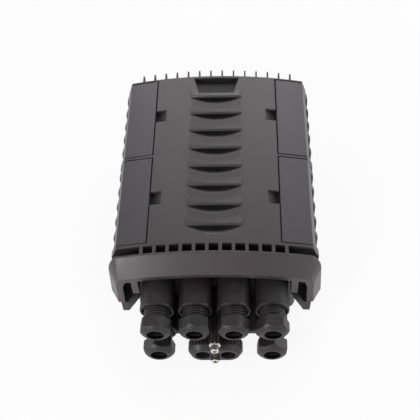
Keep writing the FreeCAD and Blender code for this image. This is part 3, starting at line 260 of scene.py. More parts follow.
@dataclass
class SharedEffects:
    """The surface effects that several finishes use, each built once as a node group.

    Scales are in cells per metre, and a range gives the values that become 0 and 1.
    """

    coarse_share: float = 0.38
    patch_scale: float = 16.0
    patch_range: tuple[float, float] = (0.3, 0.7)
    streak_stretch: tuple[float, float, float] = (210.0, 9.0, 60.0)
    streak_range: tuple[float, float] = (0.35, 0.75)
    # The rubbed edges, which are lighter as edge wear and as a painted highlight.
    rub_range: tuple[float, float] = (0.995, 0.80)
    wear_and_highlight_scale: float = 260.0
    wear_and_highlight_breaks: tuple[float, float] = (0.35, 0.65)
    wear_and_highlight_least: float = 0.35

    def __post_init__(self) -> None:
        """Builds the groups."""
        self.grain = self._grain()
        self.flow = self._flow()
        self.wear_and_highlight = self._rub()
        self.painted_shade = self._painted_shade_group()

    def _grain(self) -> Tree:
        """Fine spark-eroded mould grain: the mean of two noises of different size.

        Returns:
            The group.
        """
        graph, given, out = new_group("mould_grain", {"Vector": "Vector", "Grain": "Float"}, ["Height"])
        fine = graph.noise(given["Vector"], given["Grain"], 2.0, 0.6)
        coarse = graph.noise(given["Vector"], graph.times(given["Grain"], self.coarse_share), 1.0, 0.5)
        graph.feed(out["Height"], graph.times(graph.math("ADD", fine, coarse), 0.5))
        return graph.tree

    def _flow(self) -> Tree:
        """Broad tone patches and faint streaks along the box, as a cooled moulding shows them.

        Returns:
            The group.
        """
        graph, given, out = new_group("flow_marks", {"Vector": "Vector"}, ["Tone", "Streak"])
        patches = graph.noise(given["Vector"], self.patch_scale, 3.0)
        streaks = graph.noise(graph.stretched(given["Vector"], self.streak_stretch), 1.0, 2.0)
        graph.feed(out["Tone"], graph.ranged(patches, *self.patch_range))
        graph.feed(out["Streak"], graph.ranged(streaks, *self.streak_range))
        return graph.tree

    def _rub(self) -> Tree:
        """Rubbed edges, as edge wear and a painted highlight: where the rounded normal leaves the face's own
        normal, broken up by a noise.

        Returns:
            The group.
        """
        inputs = dict.fromkeys(("Rounded", "Face", "Vector"), "Vector")
        graph, given, out = new_group("rubbed_and_highlit_edges", inputs, ["Mask"])
        dot = graph.add("VectorMath", operation="DOT_PRODUCT")
        graph.feed(dot.inputs[0], given["Rounded"])
        graph.feed(dot.inputs[1], given["Face"])
        bend = graph.ranged(dot.outputs["Value"], *self.rub_range)
        broken = graph.noise(given["Vector"], self.wear_and_highlight_scale, 3.0)
        broken = graph.ranged(broken, *self.wear_and_highlight_breaks, self.wear_and_highlight_least, 1.0)
        graph.feed(out["Mask"], graph.math("MULTIPLY", bend, broken, clamp=True))
        return graph.tree

    def _painted_shade_group(self) -> Tree:
        """Painted shade in the hollows of the cover: how far a spot lies under the arched top, inside the
        cover's outline.

        The arched top is a circle round a line along the box, so the depth is its radius less the distance
        from that line. The painted shade is kept to the top, and in the row of windows it also takes in their
        ends on the sides. A second mask marks the louvres, whose plates get a little painted shade and more
        roughness.

        Returns:
            The group.
        """
        graph, given, out = new_group("painted_hollow_shade_mask", {"Vector": "Vector"}, ["Mask", "Louvres"])
        parts = graph.add("SeparateXYZ", {"Vector": given["Vector"]})
        x, y, z = (parts.outputs[label] for label in "XYZ")
        top = COVER_TOP
        rise = graph.math("SUBTRACT", z, top.centre)
        squares = graph.math("ADD", graph.times(x, x), graph.times(rise, rise))
        depth = graph.math("SUBTRACT", top.radius, graph.math("SQRT", squares))
        deep = graph.ranged(depth, top.shade_start, top.shade_full)
        width = graph.math("ABSOLUTE", x)
        on_top = graph.times(graph.math("LESS_THAN", width, top.half_width),
                             graph.math("GREATER_THAN", y, top.windows_far))
        in_row = graph.times(graph.between(y, top.windows_near, top.windows_far),
                             graph.math("GREATER_THAN", z, top.windows_foot))
        graph.feed(out["Mask"], graph.times(deep, graph.math("MAXIMUM", on_top, in_row)))
        middle = graph.ranged(width, top.louvres_half - top.louvres_edge, top.louvres_half, 1.0, 0.0)
        louvres = graph.times(graph.between(y, top.louvres_near, top.louvres_far), middle)
        graph.feed(out["Louvres"], graph.times(louvres, on_top))
        return graph.tree


def new_material(name: str) -> tuple[Material, NodeGraph, bpy.types.Node]:
    """Makes a material.

    Args:
        name: The material's name.

    Returns:
        The material, its graph and its Principled shader.
    """
    material = bpy.data.materials.new(name)
    material.use_nodes = True
    graph = NodeGraph(material.node_tree)
    return material, graph, material.node_tree.nodes["Principled BSDF"]


@dataclass(frozen=True)
class MouldedPlastic:
    """A moulded plastic or rubber with grain, flow marks, rubbed edges that are also a painted highlight, and
    painted shade in the cover's hollows and on its louvres.

    Sizes are in metres; grain is in cells per metre.
    """

    colour: Colour
    warm_shift: Colour = (1.06, 1.0, 0.97)
    tone_depth: float = 0.16
    roughness: float = 0.5
    roughness_spread: float = 0.09
    grain: float = 2400.0
    grain_height: float = 0.05 * MM
    edge_radius: float = 0.9 * MM
    edge_samples: int = 4
    # How much lighter the rubbed edges are painted: edge wear and a painted highlight.
    edge_wear_and_highlight_gain: float = 1.7
    sheen_level: float = 0.5
    # Shares by which painted shade darkens the cover's hollows and its louvre plates; the dulling raises
    # their roughness.
    painted_hollow_shade: float = 0.0
    hollow_dulling: float = 0.3
    painted_louvre_shade: float = 0.22
    louvre_dulling: float = 0.1

    def build(self, name: str, effects: SharedEffects) -> Material:
        """Builds the material.

        Args:
            name: The material's name.
            effects: The shared node groups.

        Returns:
            The material.
        """
        material, graph, shader = new_material(name)
        spot = graph.object_spot()
        flow = graph.group(effects.flow, Vector=spot)
        grain = graph.group(effects.grain, Vector=spot, Grain=self.grain)
        bevel = graph.add("Bevel", {"Radius": self.edge_radius}, samples=self.edge_samples)
        rounded = bevel.outputs["Normal"]
        face = graph.add("NewGeometry").outputs["Normal"]
        wear_and_highlight = graph.group(effects.wear_and_highlight, Rounded=rounded, Face=face, Vector=spot)
        colour = np.array(self.colour)
        warm = colour * (1.0 + self.tone_depth) * np.array(self.warm_shift)
        cool = colour * (1.0 - self.tone_depth)
        shade = graph.mix(opaque(cool), opaque(warm), flow["Tone"])
        # Lighter rounded edges: edge wear and a painted highlight.
        shade = graph.mix(shade, opaque(colour * self.edge_wear_and_highlight_gain), wear_and_highlight["Mask"])
        rough = graph.ranged(flow["Streak"], 0.0, 1.0, self.roughness - self.roughness_spread,
                             self.roughness + self.roughness_spread)
        # Painted shade in the cover's hollows and on its louvre plates.
        if self.painted_hollow_shade > 0.0:
            painted_shade = graph.group(effects.painted_shade, Vector=spot)
            shade, rough = self._paint_shade(graph, painted_shade, shade, rough)
        normal = graph.bump(grain["Height"], self.grain_height, Normal=rounded)
        graph.fill(shader, {"Base Color": shade, "Roughness": rough, "Normal": normal,
                            "Specular IOR Level": self.sheen_level})
        return material

    def _paint_shade(self, graph: NodeGraph, masks: Any, shade: Socket, rough: Socket) -> tuple[Socket, Socket]:
        """Paints shade lightly onto the louvres and then into the hollows, and dulls both.

        Args:
            graph: The material's graph.
            masks: The outputs of the placed group that masks them.
            shade: The colour so far.
            rough: The roughness so far.

        Returns:
            The new colour and the new roughness.
        """
        for label, depth, dulling in (("Louvres", self.painted_louvre_shade, self.louvre_dulling),
                                      ("Mask", self.painted_hollow_shade, self.hollow_dulling)):
            shade = graph.mix(shade, opaque(np.array(self.colour) * (1.0 - depth)), masks[label])
            rough = graph.math("ADD", rough, graph.times(masks[label], dulling), clamp=True)
        return shade, rough


@dataclass(frozen=True)
class TurnedMetal:
    """A turned or plated metal with fine tool lines round its axis and a breath of tarnish.

    The line scale is in cells per metre. The smooth and rough factors bound the roughness.
    """

    colour: Colour
    roughness: float = 0.16
    tarnish: float = 0.8
    line_scale: float = 5200.0
    line_stretch: tuple[float, float, float] = (0.02, 1.0, 0.02)
    line_range: tuple[float, float] = (0.3, 0.7)
    line_height: float = 0.012 * MM
    smooth_factor: float = 0.7
    rough_factor: float = 1.5

    def build(self, name: str, effects: SharedEffects) -> Material:
        """Builds the material.

        Args:
            name: The material's name.
            effects: The shared node groups.

        Returns:
            The material.
        """
        material, graph, shader = new_material(name)
        spot = graph.object_spot()
        flow = graph.group(effects.flow, Vector=spot)
        colour = np.array(self.colour)
        shade = graph.mix(opaque(colour), opaque(colour * self.tarnish), flow["Tone"])
        lines = graph.noise(graph.stretched(spot, self.line_stretch), self.line_scale, 1.0)
        rough = graph.ranged(lines, *self.line_range, self.roughness * self.smooth_factor,
                             self.roughness * self.rough_factor)
        normal = graph.bump(lines, self.line_height)
        graph.fill(shader, {"Base Color": shade, "Metallic": 1.0, "Roughness": rough, "Normal": normal})
        return material


@dataclass(frozen=True)
class ClearSheet:
    """A clear moulded sheet with a faint haze, whose roughness lies between two factors."""

    colour: Colour
    roughness: float = 0.12
    smooth_factor: float = 0.5
    rough_factor: float = 1.6

    def build(self, name: str, effects: SharedEffects) -> Material:
        """Builds the material.

        Args:
            name: The material's name.
            effects: The shared node groups.

        Returns:
            The material.
        """
        material, graph, shader = new_material(name)
        flow = graph.group(effects.flow, Vector=graph.object_spot())
        haze = graph.ranged(flow["Streak"], 0.0, 1.0, self.roughness * self.smooth_factor,
                            self.roughness * self.rough_factor)
        graph.fill(shader, {"Base Color": (*self.colour, 1.0), "Transmission Weight": 1.0, "Roughness": haze})
        return material


# Every plastic's lighter rubbed edges are edge wear and a painted highlight.
FINISHES: dict[Finish, MouldedPlastic | TurnedMetal | ClearSheet] = {
    # The cover's hollows and louvre plates get painted shade.
    Finish.COVER: MouldedPlastic((0.050, 0.040, 0.045), warm_shift=(1.04, 1.0, 0.98), tone_depth=0.1,
                                 roughness=0.40, roughness_spread=0.02, painted_hollow_shade=0.9),
    Finish.LATCH: MouldedPlastic((0.053, 0.047, 0.056), warm_shift=(1.0, 1.0, 1.02), tone_depth=0.08,
                                 roughness=0.42, roughness_spread=0.02),
    Finish.BASE: MouldedPlastic((0.024, 0.022, 0.023), roughness_spread=0.03),
    Finish.GLAND: MouldedPlastic((0.0172, 0.0152, 0.0158), roughness=0.48, roughness_spread=0.03,
                                 grain=3200.0, grain_height=0.03 * MM, sheen_level=0.46),
    Finish.RUBBER: MouldedPlastic((0.006, 0.006, 0.006), roughness=0.75, grain=3000.0, sheen_level=0.3),
    Finish.STEEL: TurnedMetal((0.60, 0.60, 0.61), roughness=0.28),
    Finish.NICKEL: TurnedMetal((0.80, 0.78, 0.74), roughness=0.14),
    Finish.BRASS: TurnedMetal((0.78, 0.60, 0.28), roughness=0.22),
    Finish.TRAY: MouldedPlastic((0.62, 0.62, 0.59), tone_depth=0.05, roughness=0.42, edge_wear_and_highlight_gain=1.1),
    Finish.CLEAR: ClearSheet((0.92, 0.95, 0.96)),
}


class Paintbox:
    """Every finish as a material, made once."""

    def __init__(self) -> None:
        """Builds the materials."""
        effects = SharedEffects()
        self.materials = {finish: look.build(finish.value, effects) for finish, look in FINISHES.items()}

    def dress(self, piece: Piece, finish: Finish) -> None:
        """Gives a piece its finish."""
        piece.data.materials.clear()
        piece.data.materials.append(self.materials[finish])

    def settle(self, piece: Piece, body: str, finish: Finish, *replaced: str) -> Piece:
        """Sets a new piece on its body and dresses it.

        Args:
            piece: The new piece.
            body: The body that it rides on.
            finish: Its finish, which also names its slot.
            replaced: The frame nodes that it stands for.

        Returns:
            The piece.
        """
        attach(piece, body)
        if replaced:
            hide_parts(*replaced)
        self.dress(piece, finish)
        return piece


def add_object(name: str, data: Any) -> Piece:
    """Puts a mesh, a lamp or a camera into the scene.

    Args:
        name: The new object's name.
        data: What it shows.

    Returns:
        The object.
    """
    made = bpy.data.objects.new(name, data)
    bpy.context.scene.collection.objects.link(made)
    return made


def read_values(items: Any, key: str, width: int = 1) -> np.ndarray:
    """Reads one property of everything in a mesh's collection.

    Args:
        items: The collection, such as a mesh's vertices.
        key: The property.
        width: How many numbers each item gives; one is a whole number.

    Returns:
        A flat array of whole numbers, or rows of floats.
    """
    values = np.empty(len(items) * width, np.int32 if width == 1 else np.float32)
    items.foreach_get(key, values)
    return values if width == 1 else values.reshape(-1, width).astype(float)


@dataclass
class GridSurface:
    """One or more closed surfaces, each sampled on a grid of two parameters.

    The points are indexed by surface (which may be left out), by row and by column. Columns close on
    themselves; rows do so too, or else the first and the last row are each closed by one flat face.
    """

    points: np.ndarray
    rows_close: bool = True
    sharp_angle: float = 40.0

    def build(self, name: str) -> Piece:
        """Puts the grid into a mesh whose faces point outwards.

        Edges that turn by more than the sharp angle, in degrees, stay crisp.

        Args:
            name: The piece's name.

        Returns:
            The new object.
        """
        rows, columns, _ = self.points.shape[-3:]
        flat = self.points.reshape(-1, 3)
        index = np.arange(len(flat)).reshape(-1, rows, columns)
        right = np.roll(index, -1, axis=2)
        quads = np.stack([index, right, np.roll(right, -1, axis=1), np.roll(index, -1, axis=1)], axis=-1)
        ends = np.empty((0, columns), int)
        if not self.rows_close:
            quads = quads[:, :-1]
            ends = np.concatenate([index[:, 0, ::-1], index[:, -1, :]])
        quads = quads.reshape(-1, 4)
        corners = flat[quads]
        cross = np.cross(corners[:, 2] - corners[:, 0], corners[:, 3] - corners[:, 1])
        outward = np.sum((corners.mean(axis=1) - flat.mean(axis=0)) * cross)
        if float(outward) < 0.0:
            quads = quads[:, ::-1]
            ends = ends[:, ::-1]
        mesh = bpy.data.meshes.new(name)
        mesh.from_pydata(flat.tolist(), [], quads.tolist() + ends.tolist())
        mesh.validate()
        mesh.shade_smooth()
        mesh.set_sharp_from_angle(angle=math.radians(self.sharp_angle))
        return add_object(name, mesh)


def soft_least(first: np.ndarray, second: np.ndarray, blend: float) -> np.ndarray:
    """The smaller of two arrays, rounded where they cross: half their sum less a smoothed difference."""
    return 0.5 * (first + second - np.sqrt((first - second) ** 2 + blend * blend))


def even_angles(count: int) -> np.ndarray:
    """Evenly spaced angles round an axis."""
    return np.linspace(0.0, FULL_TURN, count, endpoint=False)


def rounded_edge(radius: float, front: float, edge: float) -> tuple[np.ndarray, np.ndarray]:
    """A quarter round of a turned part, from its side to its front face: radius and place of each row."""
    return radius - edge * (1.0 - np.cos(QUARTER)), front - edge * (1.0 - np.sin(QUARTER))


def hexagon_radius(angles: np.ndarray, corner: float, turn: float) -> np.ndarray:
    """Radius of a hexagon: half its width over flats, over the cosine of the angle from the nearest flat.

    Args:
        angles: The angles round its axis.
        corner: Radius at its corners.
        turn: Angle of a corner.

    Returns:
        The radius at each angle.
    """
    from_flat = np.mod(angles - turn, 2.0 * HALF_FLAT) - HALF_FLAT
    return corner * math.cos(HALF_FLAT) / np.cos(from_flat)


def turned_points(sections: Sequence[tuple[Any, Any]], count: int, axis: Vector) -> np.ndarray:
    """Turns rows of radii round an axis that runs towards -Y.

    Args:
        sections: Radii of each stretch of rows, one a row or one for each of its angles, and the rows' places
            along the axis, outwards from the axis point.
        count: How many evenly spaced angles a row has.
        axis: A point on the axis.

    Returns:
        The points, row by angle.
    """
    radii = np.concatenate([np.broadcast_to(np.reshape(rows, (len(places), -1)), (len(places), count))
                            for rows, places in sections])
    along = np.concatenate([places for _, places in sections])
    angles = even_angles(count)
    x = axis.x + radii * np.cos(angles)
    y = np.broadcast_to((axis.y - along)[:, None], radii.shape)
    z = axis.z + radii * np.sin(angles)
    return np.stack([x, y, z], axis=-1)


def node_radii(node: str, axis: Vector) -> tuple[np.ndarray, np.ndarray, np.ndarray]:
    """Reads how a frame node lies round an axis along Y.

    Args:
        node: The frame node.
        axis: A point on the axis.

    Returns:
        Radius, angle and place along -Y of each of its vertices.
    """
    spots = read_values(frame["nodes"][node].data.vertices, "co", 3)
    x = spots[:, 0] - axis.x
    z = spots[:, 2] - axis.z
    return np.hypot(x, z), np.arctan2(z, x), axis.y - spots[:, 1]


@dataclass
class Part:
    """A part of the box, with the finishes that it is dressed from."""

    paint: Paintbox


@dataclass
class PortSleeve(Part):
    """One port sleeve: a plain tube with a beaded mouth, seated by its shoulder on the port wall."""

    number: int
    axis: Vector
    angles_count: int = 120
    bead_height: float = 0.28 * MM
    bead_length: float = 2.6 * MM
    bead_rows: int = 13
    edge: float = 0.7 * MM

    def build(self) -> Piece:
        """Builds the sleeve.

        Its outer radius is the tube's own plus a raised cosine of the place over the last stretch, and a
        quarter round carries it over to the flat face of the mouth.

        Returns:
            The sleeve.
        """
        node = "port_sleeve_%d" % self.number
        radius, _, along = node_radii(node, self.axis)
        tube, bore = radius.max(), radius.min()
        front, back = along.max(), along.min()
        shoulder = along[radius > tube - SAME].min()
        spigot = radius[along < shoulder - STEP].max()
        mouth = radius[along > front - SAME].min()
        recess = along[np.abs(radius - mouth) < SAME].min()
        share = np.linspace(0.0, 1.0, self.bead_rows, endpoint=False)
        bead = tube + self.bead_height * (0.5 - 0.5 * np.cos(FULL_TURN * share))
        bead_places = front - self.edge - self.bead_length + self.bead_length * share
        sections = [([spigot, spigot, tube], [back, shoulder, shoulder]),
                    (bead, bead_places),
                    rounded_edge(tube, front, self.edge),
                    ([mouth, mouth, bore, bore], [front, recess, recess, back])]
        points = turned_points(sections, self.angles_count, self.axis)
        piece = GridSurface(points).build("port_tube_%d" % self.number)
        return self.paint.settle(piece, HOUSING, Finish.GLAND, node)


@dataclass
class CableGland(Part):
    """One cable gland: a threaded sleeve and a hexagon nut with a domed front."""

    number: int
    axis: Vector
    angles_count: int = 144
    thread_pitch: float = 3.0 * MM
    thread_depth: float = 1.5 * MM
    thread_rows: int = 110
    groove_share: float = 0.26
    corner_trim: float = 0.975
    edge_blend: float = 0.25 * MM
    chamfer: float = 1.3 * MM
    chamfer_lean: float = 1.5
    chamfer_rows: int = 8
    side_rows: int = 10
    dome_power: float = 1.5
    dome_rows: int = 34
    dome_crowding: float = 1.6
    lip: float = 0.45 * MM
    throat: float = 1.4 * MM
    nut_sharp_angle: float = 24.0

    def build_sleeve(self) -> Piece:
        """Builds the threaded sleeve.

        Its outer radius is the thread's crest less a groove: a smooth step of how near the place, counted in
        turns, lies to the middle of a turn.

        Returns:
            The sleeve.
        """
        node = "gland_body_%d" % self.number
        radius, _, along = node_radii(node, self.axis)
        crest, bore = radius.max(), radius.min()
        front, back = along.max(), along.min()
        threaded = along[radius > crest - SAME]
        seat = threaded.min()
        root = radius[along < seat - STEP].max()
        claw = radius[along > front - SAME].max()
        steps = np.linspace(seat, threaded.max(), self.thread_rows)
        turns = steps[:, None] / self.thread_pitch - even_angles(self.angles_count)[None, :] / FULL_TURN
        near = np.clip(1.0 - np.abs(np.mod(turns, 1.0) - 0.5) / self.groove_share, 0.0, 1.0)
        fade = np.clip((steps - seat) / self.thread_pitch, 0.0, 1.0)[:, None]
        threads = crest - self.thread_depth * near * near * (3.0 - 2.0 * near) * fade
        sections = [([root, root], [back, seat]), (threads, steps),
                    ([claw, bore, bore], [front, front, back])]
        points = turned_points(sections, self.angles_count, self.axis)
        piece = GridSurface(points).build("gland_sleeve_%d" % self.number)
        return self.paint.settle(piece, HOUSING, Finish.GLAND, node)

    def build_nut(self) -> Piece:
        """Builds the dome nut.

        Its outer radius is the softened least of the hexagon at that angle and a barrel that leans in behind
        and closes over the front as a superellipse. A quarter round leads into the mouth.

        Returns:
            The nut.
        """
        node = "gland_nut_%d" % self.number
        radius, angle, along = node_radii(node, self.axis)
        corner = radius.max()
        front, back = along.max(), along.min()
        at_front = radius[along > front - SAME]
        rim, mouth = at_front.max(), at_front.min()
        bore = radius[along < back + SAME].min()
        shoulder = along[radius > corner - SAME].max()
        chamfered = back + self.chamfer
        dome = front - (front - shoulder) * np.linspace(1.0, 0.0, self.dome_rows) ** self.dome_crowding
        steps = np.concatenate([np.linspace(back, chamfered, self.chamfer_rows, endpoint=False),
                                np.linspace(chamfered, shoulder, self.side_rows, endpoint=False), dome])
        share = np.clip((steps - shoulder) / (front - shoulder), 0.0, 1.0)
        barrel = rim + (corner - rim) * (1.0 - share ** self.dome_power) ** (1.0 / self.dome_power)
        lean = np.clip((chamfered - steps) / self.chamfer, 0.0, 1.0) * self.chamfer_lean
        barrel = barrel - lean * corner * (1.0 - math.cos(HALF_FLAT))
        hexagon = hexagon_radius(even_angles(self.angles_count), corner, float(angle[np.argmax(radius)]))
        hexagon = np.minimum(hexagon, corner * self.corner_trim)
        outer = np.maximum(soft_least(hexagon[None, :], barrel[:, None], self.edge_blend), rim)
        lip = (mouth + self.lip * (1.0 - np.sin(QUARTER)), front - self.lip * (1.0 - np.cos(QUARTER)))
        throat_end = front - self.throat
        inside = ([mouth, bore, bore], [throat_end, throat_end - self.lip, back])
        points = turned_points([(outer, steps), lip, inside], self.angles_count, self.axis)
        surface = GridSurface(points, sharp_angle=self.nut_sharp_angle)
        piece = surface.build("gland_dome_nut_%d" % self.number)
        return self.paint.settle(piece, "gland_nut_%d_body" % self.number, Finish.GLAND, node)


@dataclass
class PortWeb(Part):
    """One web between the twin port and a lower port, which runs into both sleeves with a small fillet."""

    side: Side
    port: int
    cover: float = 0.35 * MM
    fillet: float = 1.6 * MM
    overlap: float = 0.8 * MM
    half_height: float = 3.0 * MM
    edge: float = 0.5 * MM
    back_inset: float = 4.0 * MM
    rows: int = 33
    angles_count: int = 64
    section_power: float = 0.16

    def build(self) -> Piece:
        """Builds the web.

        Its half height is the web's own plus a quarter-round fillet of the distance to the nearer end. Its
        section is a superellipse from the port wall to just behind the sleeves' mouths.

        Returns:
            The web.
        """
        low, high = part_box("twin_port_sleeve")
        port_low, port_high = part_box("port_sleeve_%d" % self.port)
        inner = high.x - self.overlap
        outer = min(abs(port_low.x), abs(port_high.x)) + self.overlap
        across = np.linspace(inner, outer, self.rows)
        near_end = np.minimum(across - inner, outer - across) - self.overlap
        rest = np.clip(self.fillet - near_end, 0.0, self.fillet)
        height = self.half_height + self.cover + self.fillet - np.sqrt(self.fillet ** 2 - rest ** 2)
        back = high.y - self.back_inset
        front = low.y + self.edge
        angles = even_angles(self.angles_count)
        circle = np.stack([np.cos(angles), np.sin(angles)])
        outline = np.sign(circle) * np.abs(circle) ** self.section_power
        x = np.broadcast_to(self.side.value * across[:, None], (self.rows, self.angles_count))
        y = np.broadcast_to((front + back) / 2.0 + (back - front) / 2.0 * outline[0][None, :], x.shape)
        z = (low.z + high.z) / 2.0 + height[:, None] * outline[1][None, :]
        surface = GridSurface(np.stack([x, y, z], axis=-1), rows_close=False)
        return self.paint.settle(surface.build("port_web_" + self.side.name.lower()), HOUSING, Finish.BASE)


@dataclass
class CapRibs(Part):
    """The grip ribs along the upper and the lower side of the twin cap; the lobe's reach is in degrees."""

    pitch: float = 3.9 * MM
    half_width: float = 1.05 * MM
    height: float = 0.75 * MM
    margin: float = 0.5 * MM
    lobe_reach: float = 62.0
    rows: int = 17
    angles_count: int = 16
    end_power: int = 6
    end_size: float = 0.01

    def build(self) -> Piece:
        """Builds every rib in one piece.

        Each rib is an ellipse carried along the cap, whose size is the root of one less a high power of the
        place from its middle. It is set square on the cap's outline: a straight run between the two cables
        and an arc round each.

        Returns:
            The ribs.
        """
        low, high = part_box("twin_gland_cap")
        row = (low.z + high.z) / 2.0
        radius = (high.z - low.z) / 2.0
        straight = high.x - radius
        spots = read_values(frame["nodes"]["twin_gland_cap"].data.vertices, "co", 3)
        skirt = spots[spots[:, 2] > high.z - SAME, 1]
        count = int((straight + radius * math.radians(self.lobe_reach)) // self.pitch)
        along = self.pitch * (np.arange(-count, count) + 0.5)
        lean = np.sign(along) * np.clip(np.abs(along) - straight, 0.0, None) / radius
        foot_x = np.clip(along, -straight, straight) + radius * np.sin(lean)
        foot_z = radius * np.cos(lean)
        places = np.linspace(0.0, 1.0, self.rows)
        size = np.sqrt(np.clip(1.0 - np.abs(2.0 * places - 1.0) ** self.end_power, self.end_size ** 2, 1.0))
        angles = even_angles(self.angles_count)
        aside = self.half_width * size[None, :, None] * np.cos(angles)[None, None, :]
        out = self.height * size[None, :, None] * np.sin(angles)[None, None, :]
        lean = lean[:, None, None]
        x = foot_x[:, None, None] + aside * np.cos(lean) + out * np.sin(lean)
        z = foot_z[:, None, None] - aside * np.sin(lean) + out * np.cos(lean)
        length = skirt.max() - skirt.min() - 2.0 * self.margin
        y = np.broadcast_to((skirt.min() + self.margin + length * places)[None, :, None], x.shape)
        upper = np.stack([x, y, row + z], axis=-1)
        lower = np.stack([-x, y, row - z], axis=-1)
        piece = GridSurface(np.concatenate([upper, lower]), rows_close=False).build("twin_cap_ribs")
        return self.paint.settle(piece, HOUSING, Finish.GLAND)


@dataclass
class SocketScrew(Part):
    """A plated socket head screw that stands out of the port side."""

    node: str
    angles_count: int = 96
    edge: float = 0.7 * MM
    knurl_depth: float = 0.12 * MM
    knurl_count: int = 32
    socket_edge: float = 0.15 * MM
    drill_flat: float = 0.3 * MM
    drill_cone: float = 0.5 * MM
    sharp_angle: float = 30.0

    def build(self) -> Piece:
        """Builds the screw: a fluted head with a rounded edge, a hexagon socket and a plain shank.

        The head's radius is its own less a cosine flute of the angle. The socket is a hexagon that ends in a
        drill's cone.

        Returns:
            The screw.
        """
        low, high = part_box(self.node)
        axis = Vector(((low.x + high.x) / 2.0, high.y, (low.z + high.z) / 2.0))
        radius, _, along = node_radii(self.node, axis)
        head = radius.max()
        front, back = along.max(), along.min()
        seat = along[radius > head - SAME].min()
        shank = radius[along < seat - STEP].max()
        socket = radius[along > front - SAME].min()
        bottom = along[(radius < socket + SAME) & (along < front - SAME) & (along > seat)].max()
        angles = even_angles(self.angles_count)
        flute = self.knurl_depth * (0.5 - 0.5 * np.cos(self.knurl_count * angles))
        hexagon = hexagon_radius(angles, socket, 0.0)
        sections = [([shank, shank], [back, seat]),
                    ([head - flute, head - flute], [seat, front - self.edge]),
                    rounded_edge(head, front, self.edge),
                    ([hexagon + self.socket_edge, hexagon, hexagon],
                     [front, front - self.socket_edge, bottom]),
                    ([self.drill_flat], [bottom - self.drill_cone])]
        points = turned_points(sections, self.angles_count, axis)
        surface = GridSurface(points, rows_close=False, sharp_angle=self.sharp_angle)
        return self.paint.settle(surface.build(self.node + "_plated"), HOUSING, Finish.NICKEL, self.node)


@dataclass
class SoftenedMoulding(Part):
    """A moulding from the frame whose edges get a mould's small radius; angles are in degrees."""

    node: str
    body: str
    finish: Finish
    radius: float = 0.5 * MM
    segments: int = 2
    angle: float = 28.0
    merge_gap: float = 0.002 * MM
    sliver: float = 0.001 * MM
    facet_angle: float = 0.4
    arched: bool = False
    arch_slack: float = 0.04 * MM
    plated: bool = False

    def build(self) -> Piece:
        """Copies the node's mesh, joins its facets and rounds its edges.

        Returns:
            The softened piece.
        """
        name = self.node + "_softened"
        mesh = frame["nodes"][self.node].data.copy()
        mesh.name = name
        if self.plated:
            self._draw_in_the_plates(mesh)
        work = bmesh.new()
        work.from_mesh(mesh)
        bmesh.ops.remove_doubles(work, verts=work.verts, dist=self.merge_gap)
        bmesh.ops.dissolve_degenerate(work, edges=work.edges, dist=self.sliver)
        bmesh.ops.dissolve_limit(work, angle_limit=math.radians(self.facet_angle), verts=work.verts,
                                 edges=work.edges)
        work.to_mesh(mesh)
        work.free()
        mesh.shade_smooth()
        mesh.set_sharp_from_angle(angle=math.radians(self.angle))
        piece = add_object(name, mesh)
        bevel = piece.modifiers.new("mould_radius", "BEVEL")
        bevel.width = self.radius
        bevel.segments = self.segments
        bevel.limit_method = "ANGLE"
        bevel.angle_limit = math.radians(self.angle)
        bevel.harden_normals = True
        if self.arched:
            self._round_the_arch(piece)
        return self.paint.settle(piece, self.body, self.finish, self.node)

    def _draw_in_the_plates(self, mesh: bpy.types.Mesh) -> None:
        """Draws in the ends of the louvre plates to the louvres' width.

        Past the louvres' half width only a small share of the distance across the box is kept. What lies on
        the arch follows it, and the plates' tops keep their height.

        Args:
            mesh: The cover's mesh, in loose triangles.
        """
        x, y, z = read_values(mesh.vertices, "co", 3).T
        top = COVER_TOP
        width = np.abs(x)
        ends = (width > top.louvres_half) & (width < top.plates_half + self.arch_slack)
        ends &= (y > top.louvres_near - self.arch_slack) & (y < top.plates_far)
        ends &= z > top.height(width) - self.arch_slack
        drawn = top.louvres_half + (width - top.louvres_half) * top.plates_kept
        drawn = np.where(ends, drawn, width)
        over = np.clip((z - top.height(width)) / top.plates_height, 0.0, 1.0)
        rise = np.where(ends, (top.height(drawn) - top.height(width)) * (1.0 - over), 0.0)
        moved = np.stack([np.sign(x) * drawn, y, z + rise], axis=1)
        mesh.vertices.foreach_set("co", moved.astype(np.float32).ravel())
        mesh.update()

    def _round_the_arch(self, piece: Piece) -> None:
        """Applies the rounded edges and gives every face of the arched top the arch's own normals.

        A corner's normal there points from the arch's centre line to the corner. A face lies on the arch
        where all its corners are at the arch's radius from that line.

        Args:
            piece: The softened piece, whose mesh is replaced by its finished one.
        """
        graph = bpy.context.evaluated_depsgraph_get()
        mesh = bpy.data.meshes.new_from_object(piece.evaluated_get(graph), depsgraph=graph)
        piece.modifiers.clear()
        piece.data = mesh
        normals = read_values(mesh.corner_normals, "vector", 3)
        out = read_values(mesh.vertices, "co", 3)[read_values(mesh.loops, "vertex_index")]
        out = out * np.array([1.0, 0.0, 1.0]) - np.array([0.0, 0.0, COVER_TOP.centre])
        reach = np.linalg.norm(out, axis=1)
        off = np.maximum.reduceat(np.abs(reach - COVER_TOP.radius), read_values(mesh.polygons, "loop_start"))
        on_arch = np.repeat(off < self.arch_slack, read_values(mesh.polygons, "loop_total"))
        normals[on_arch] = (out / reach[:, None])[on_arch]
        mesh.normals_split_custom_set(normals)


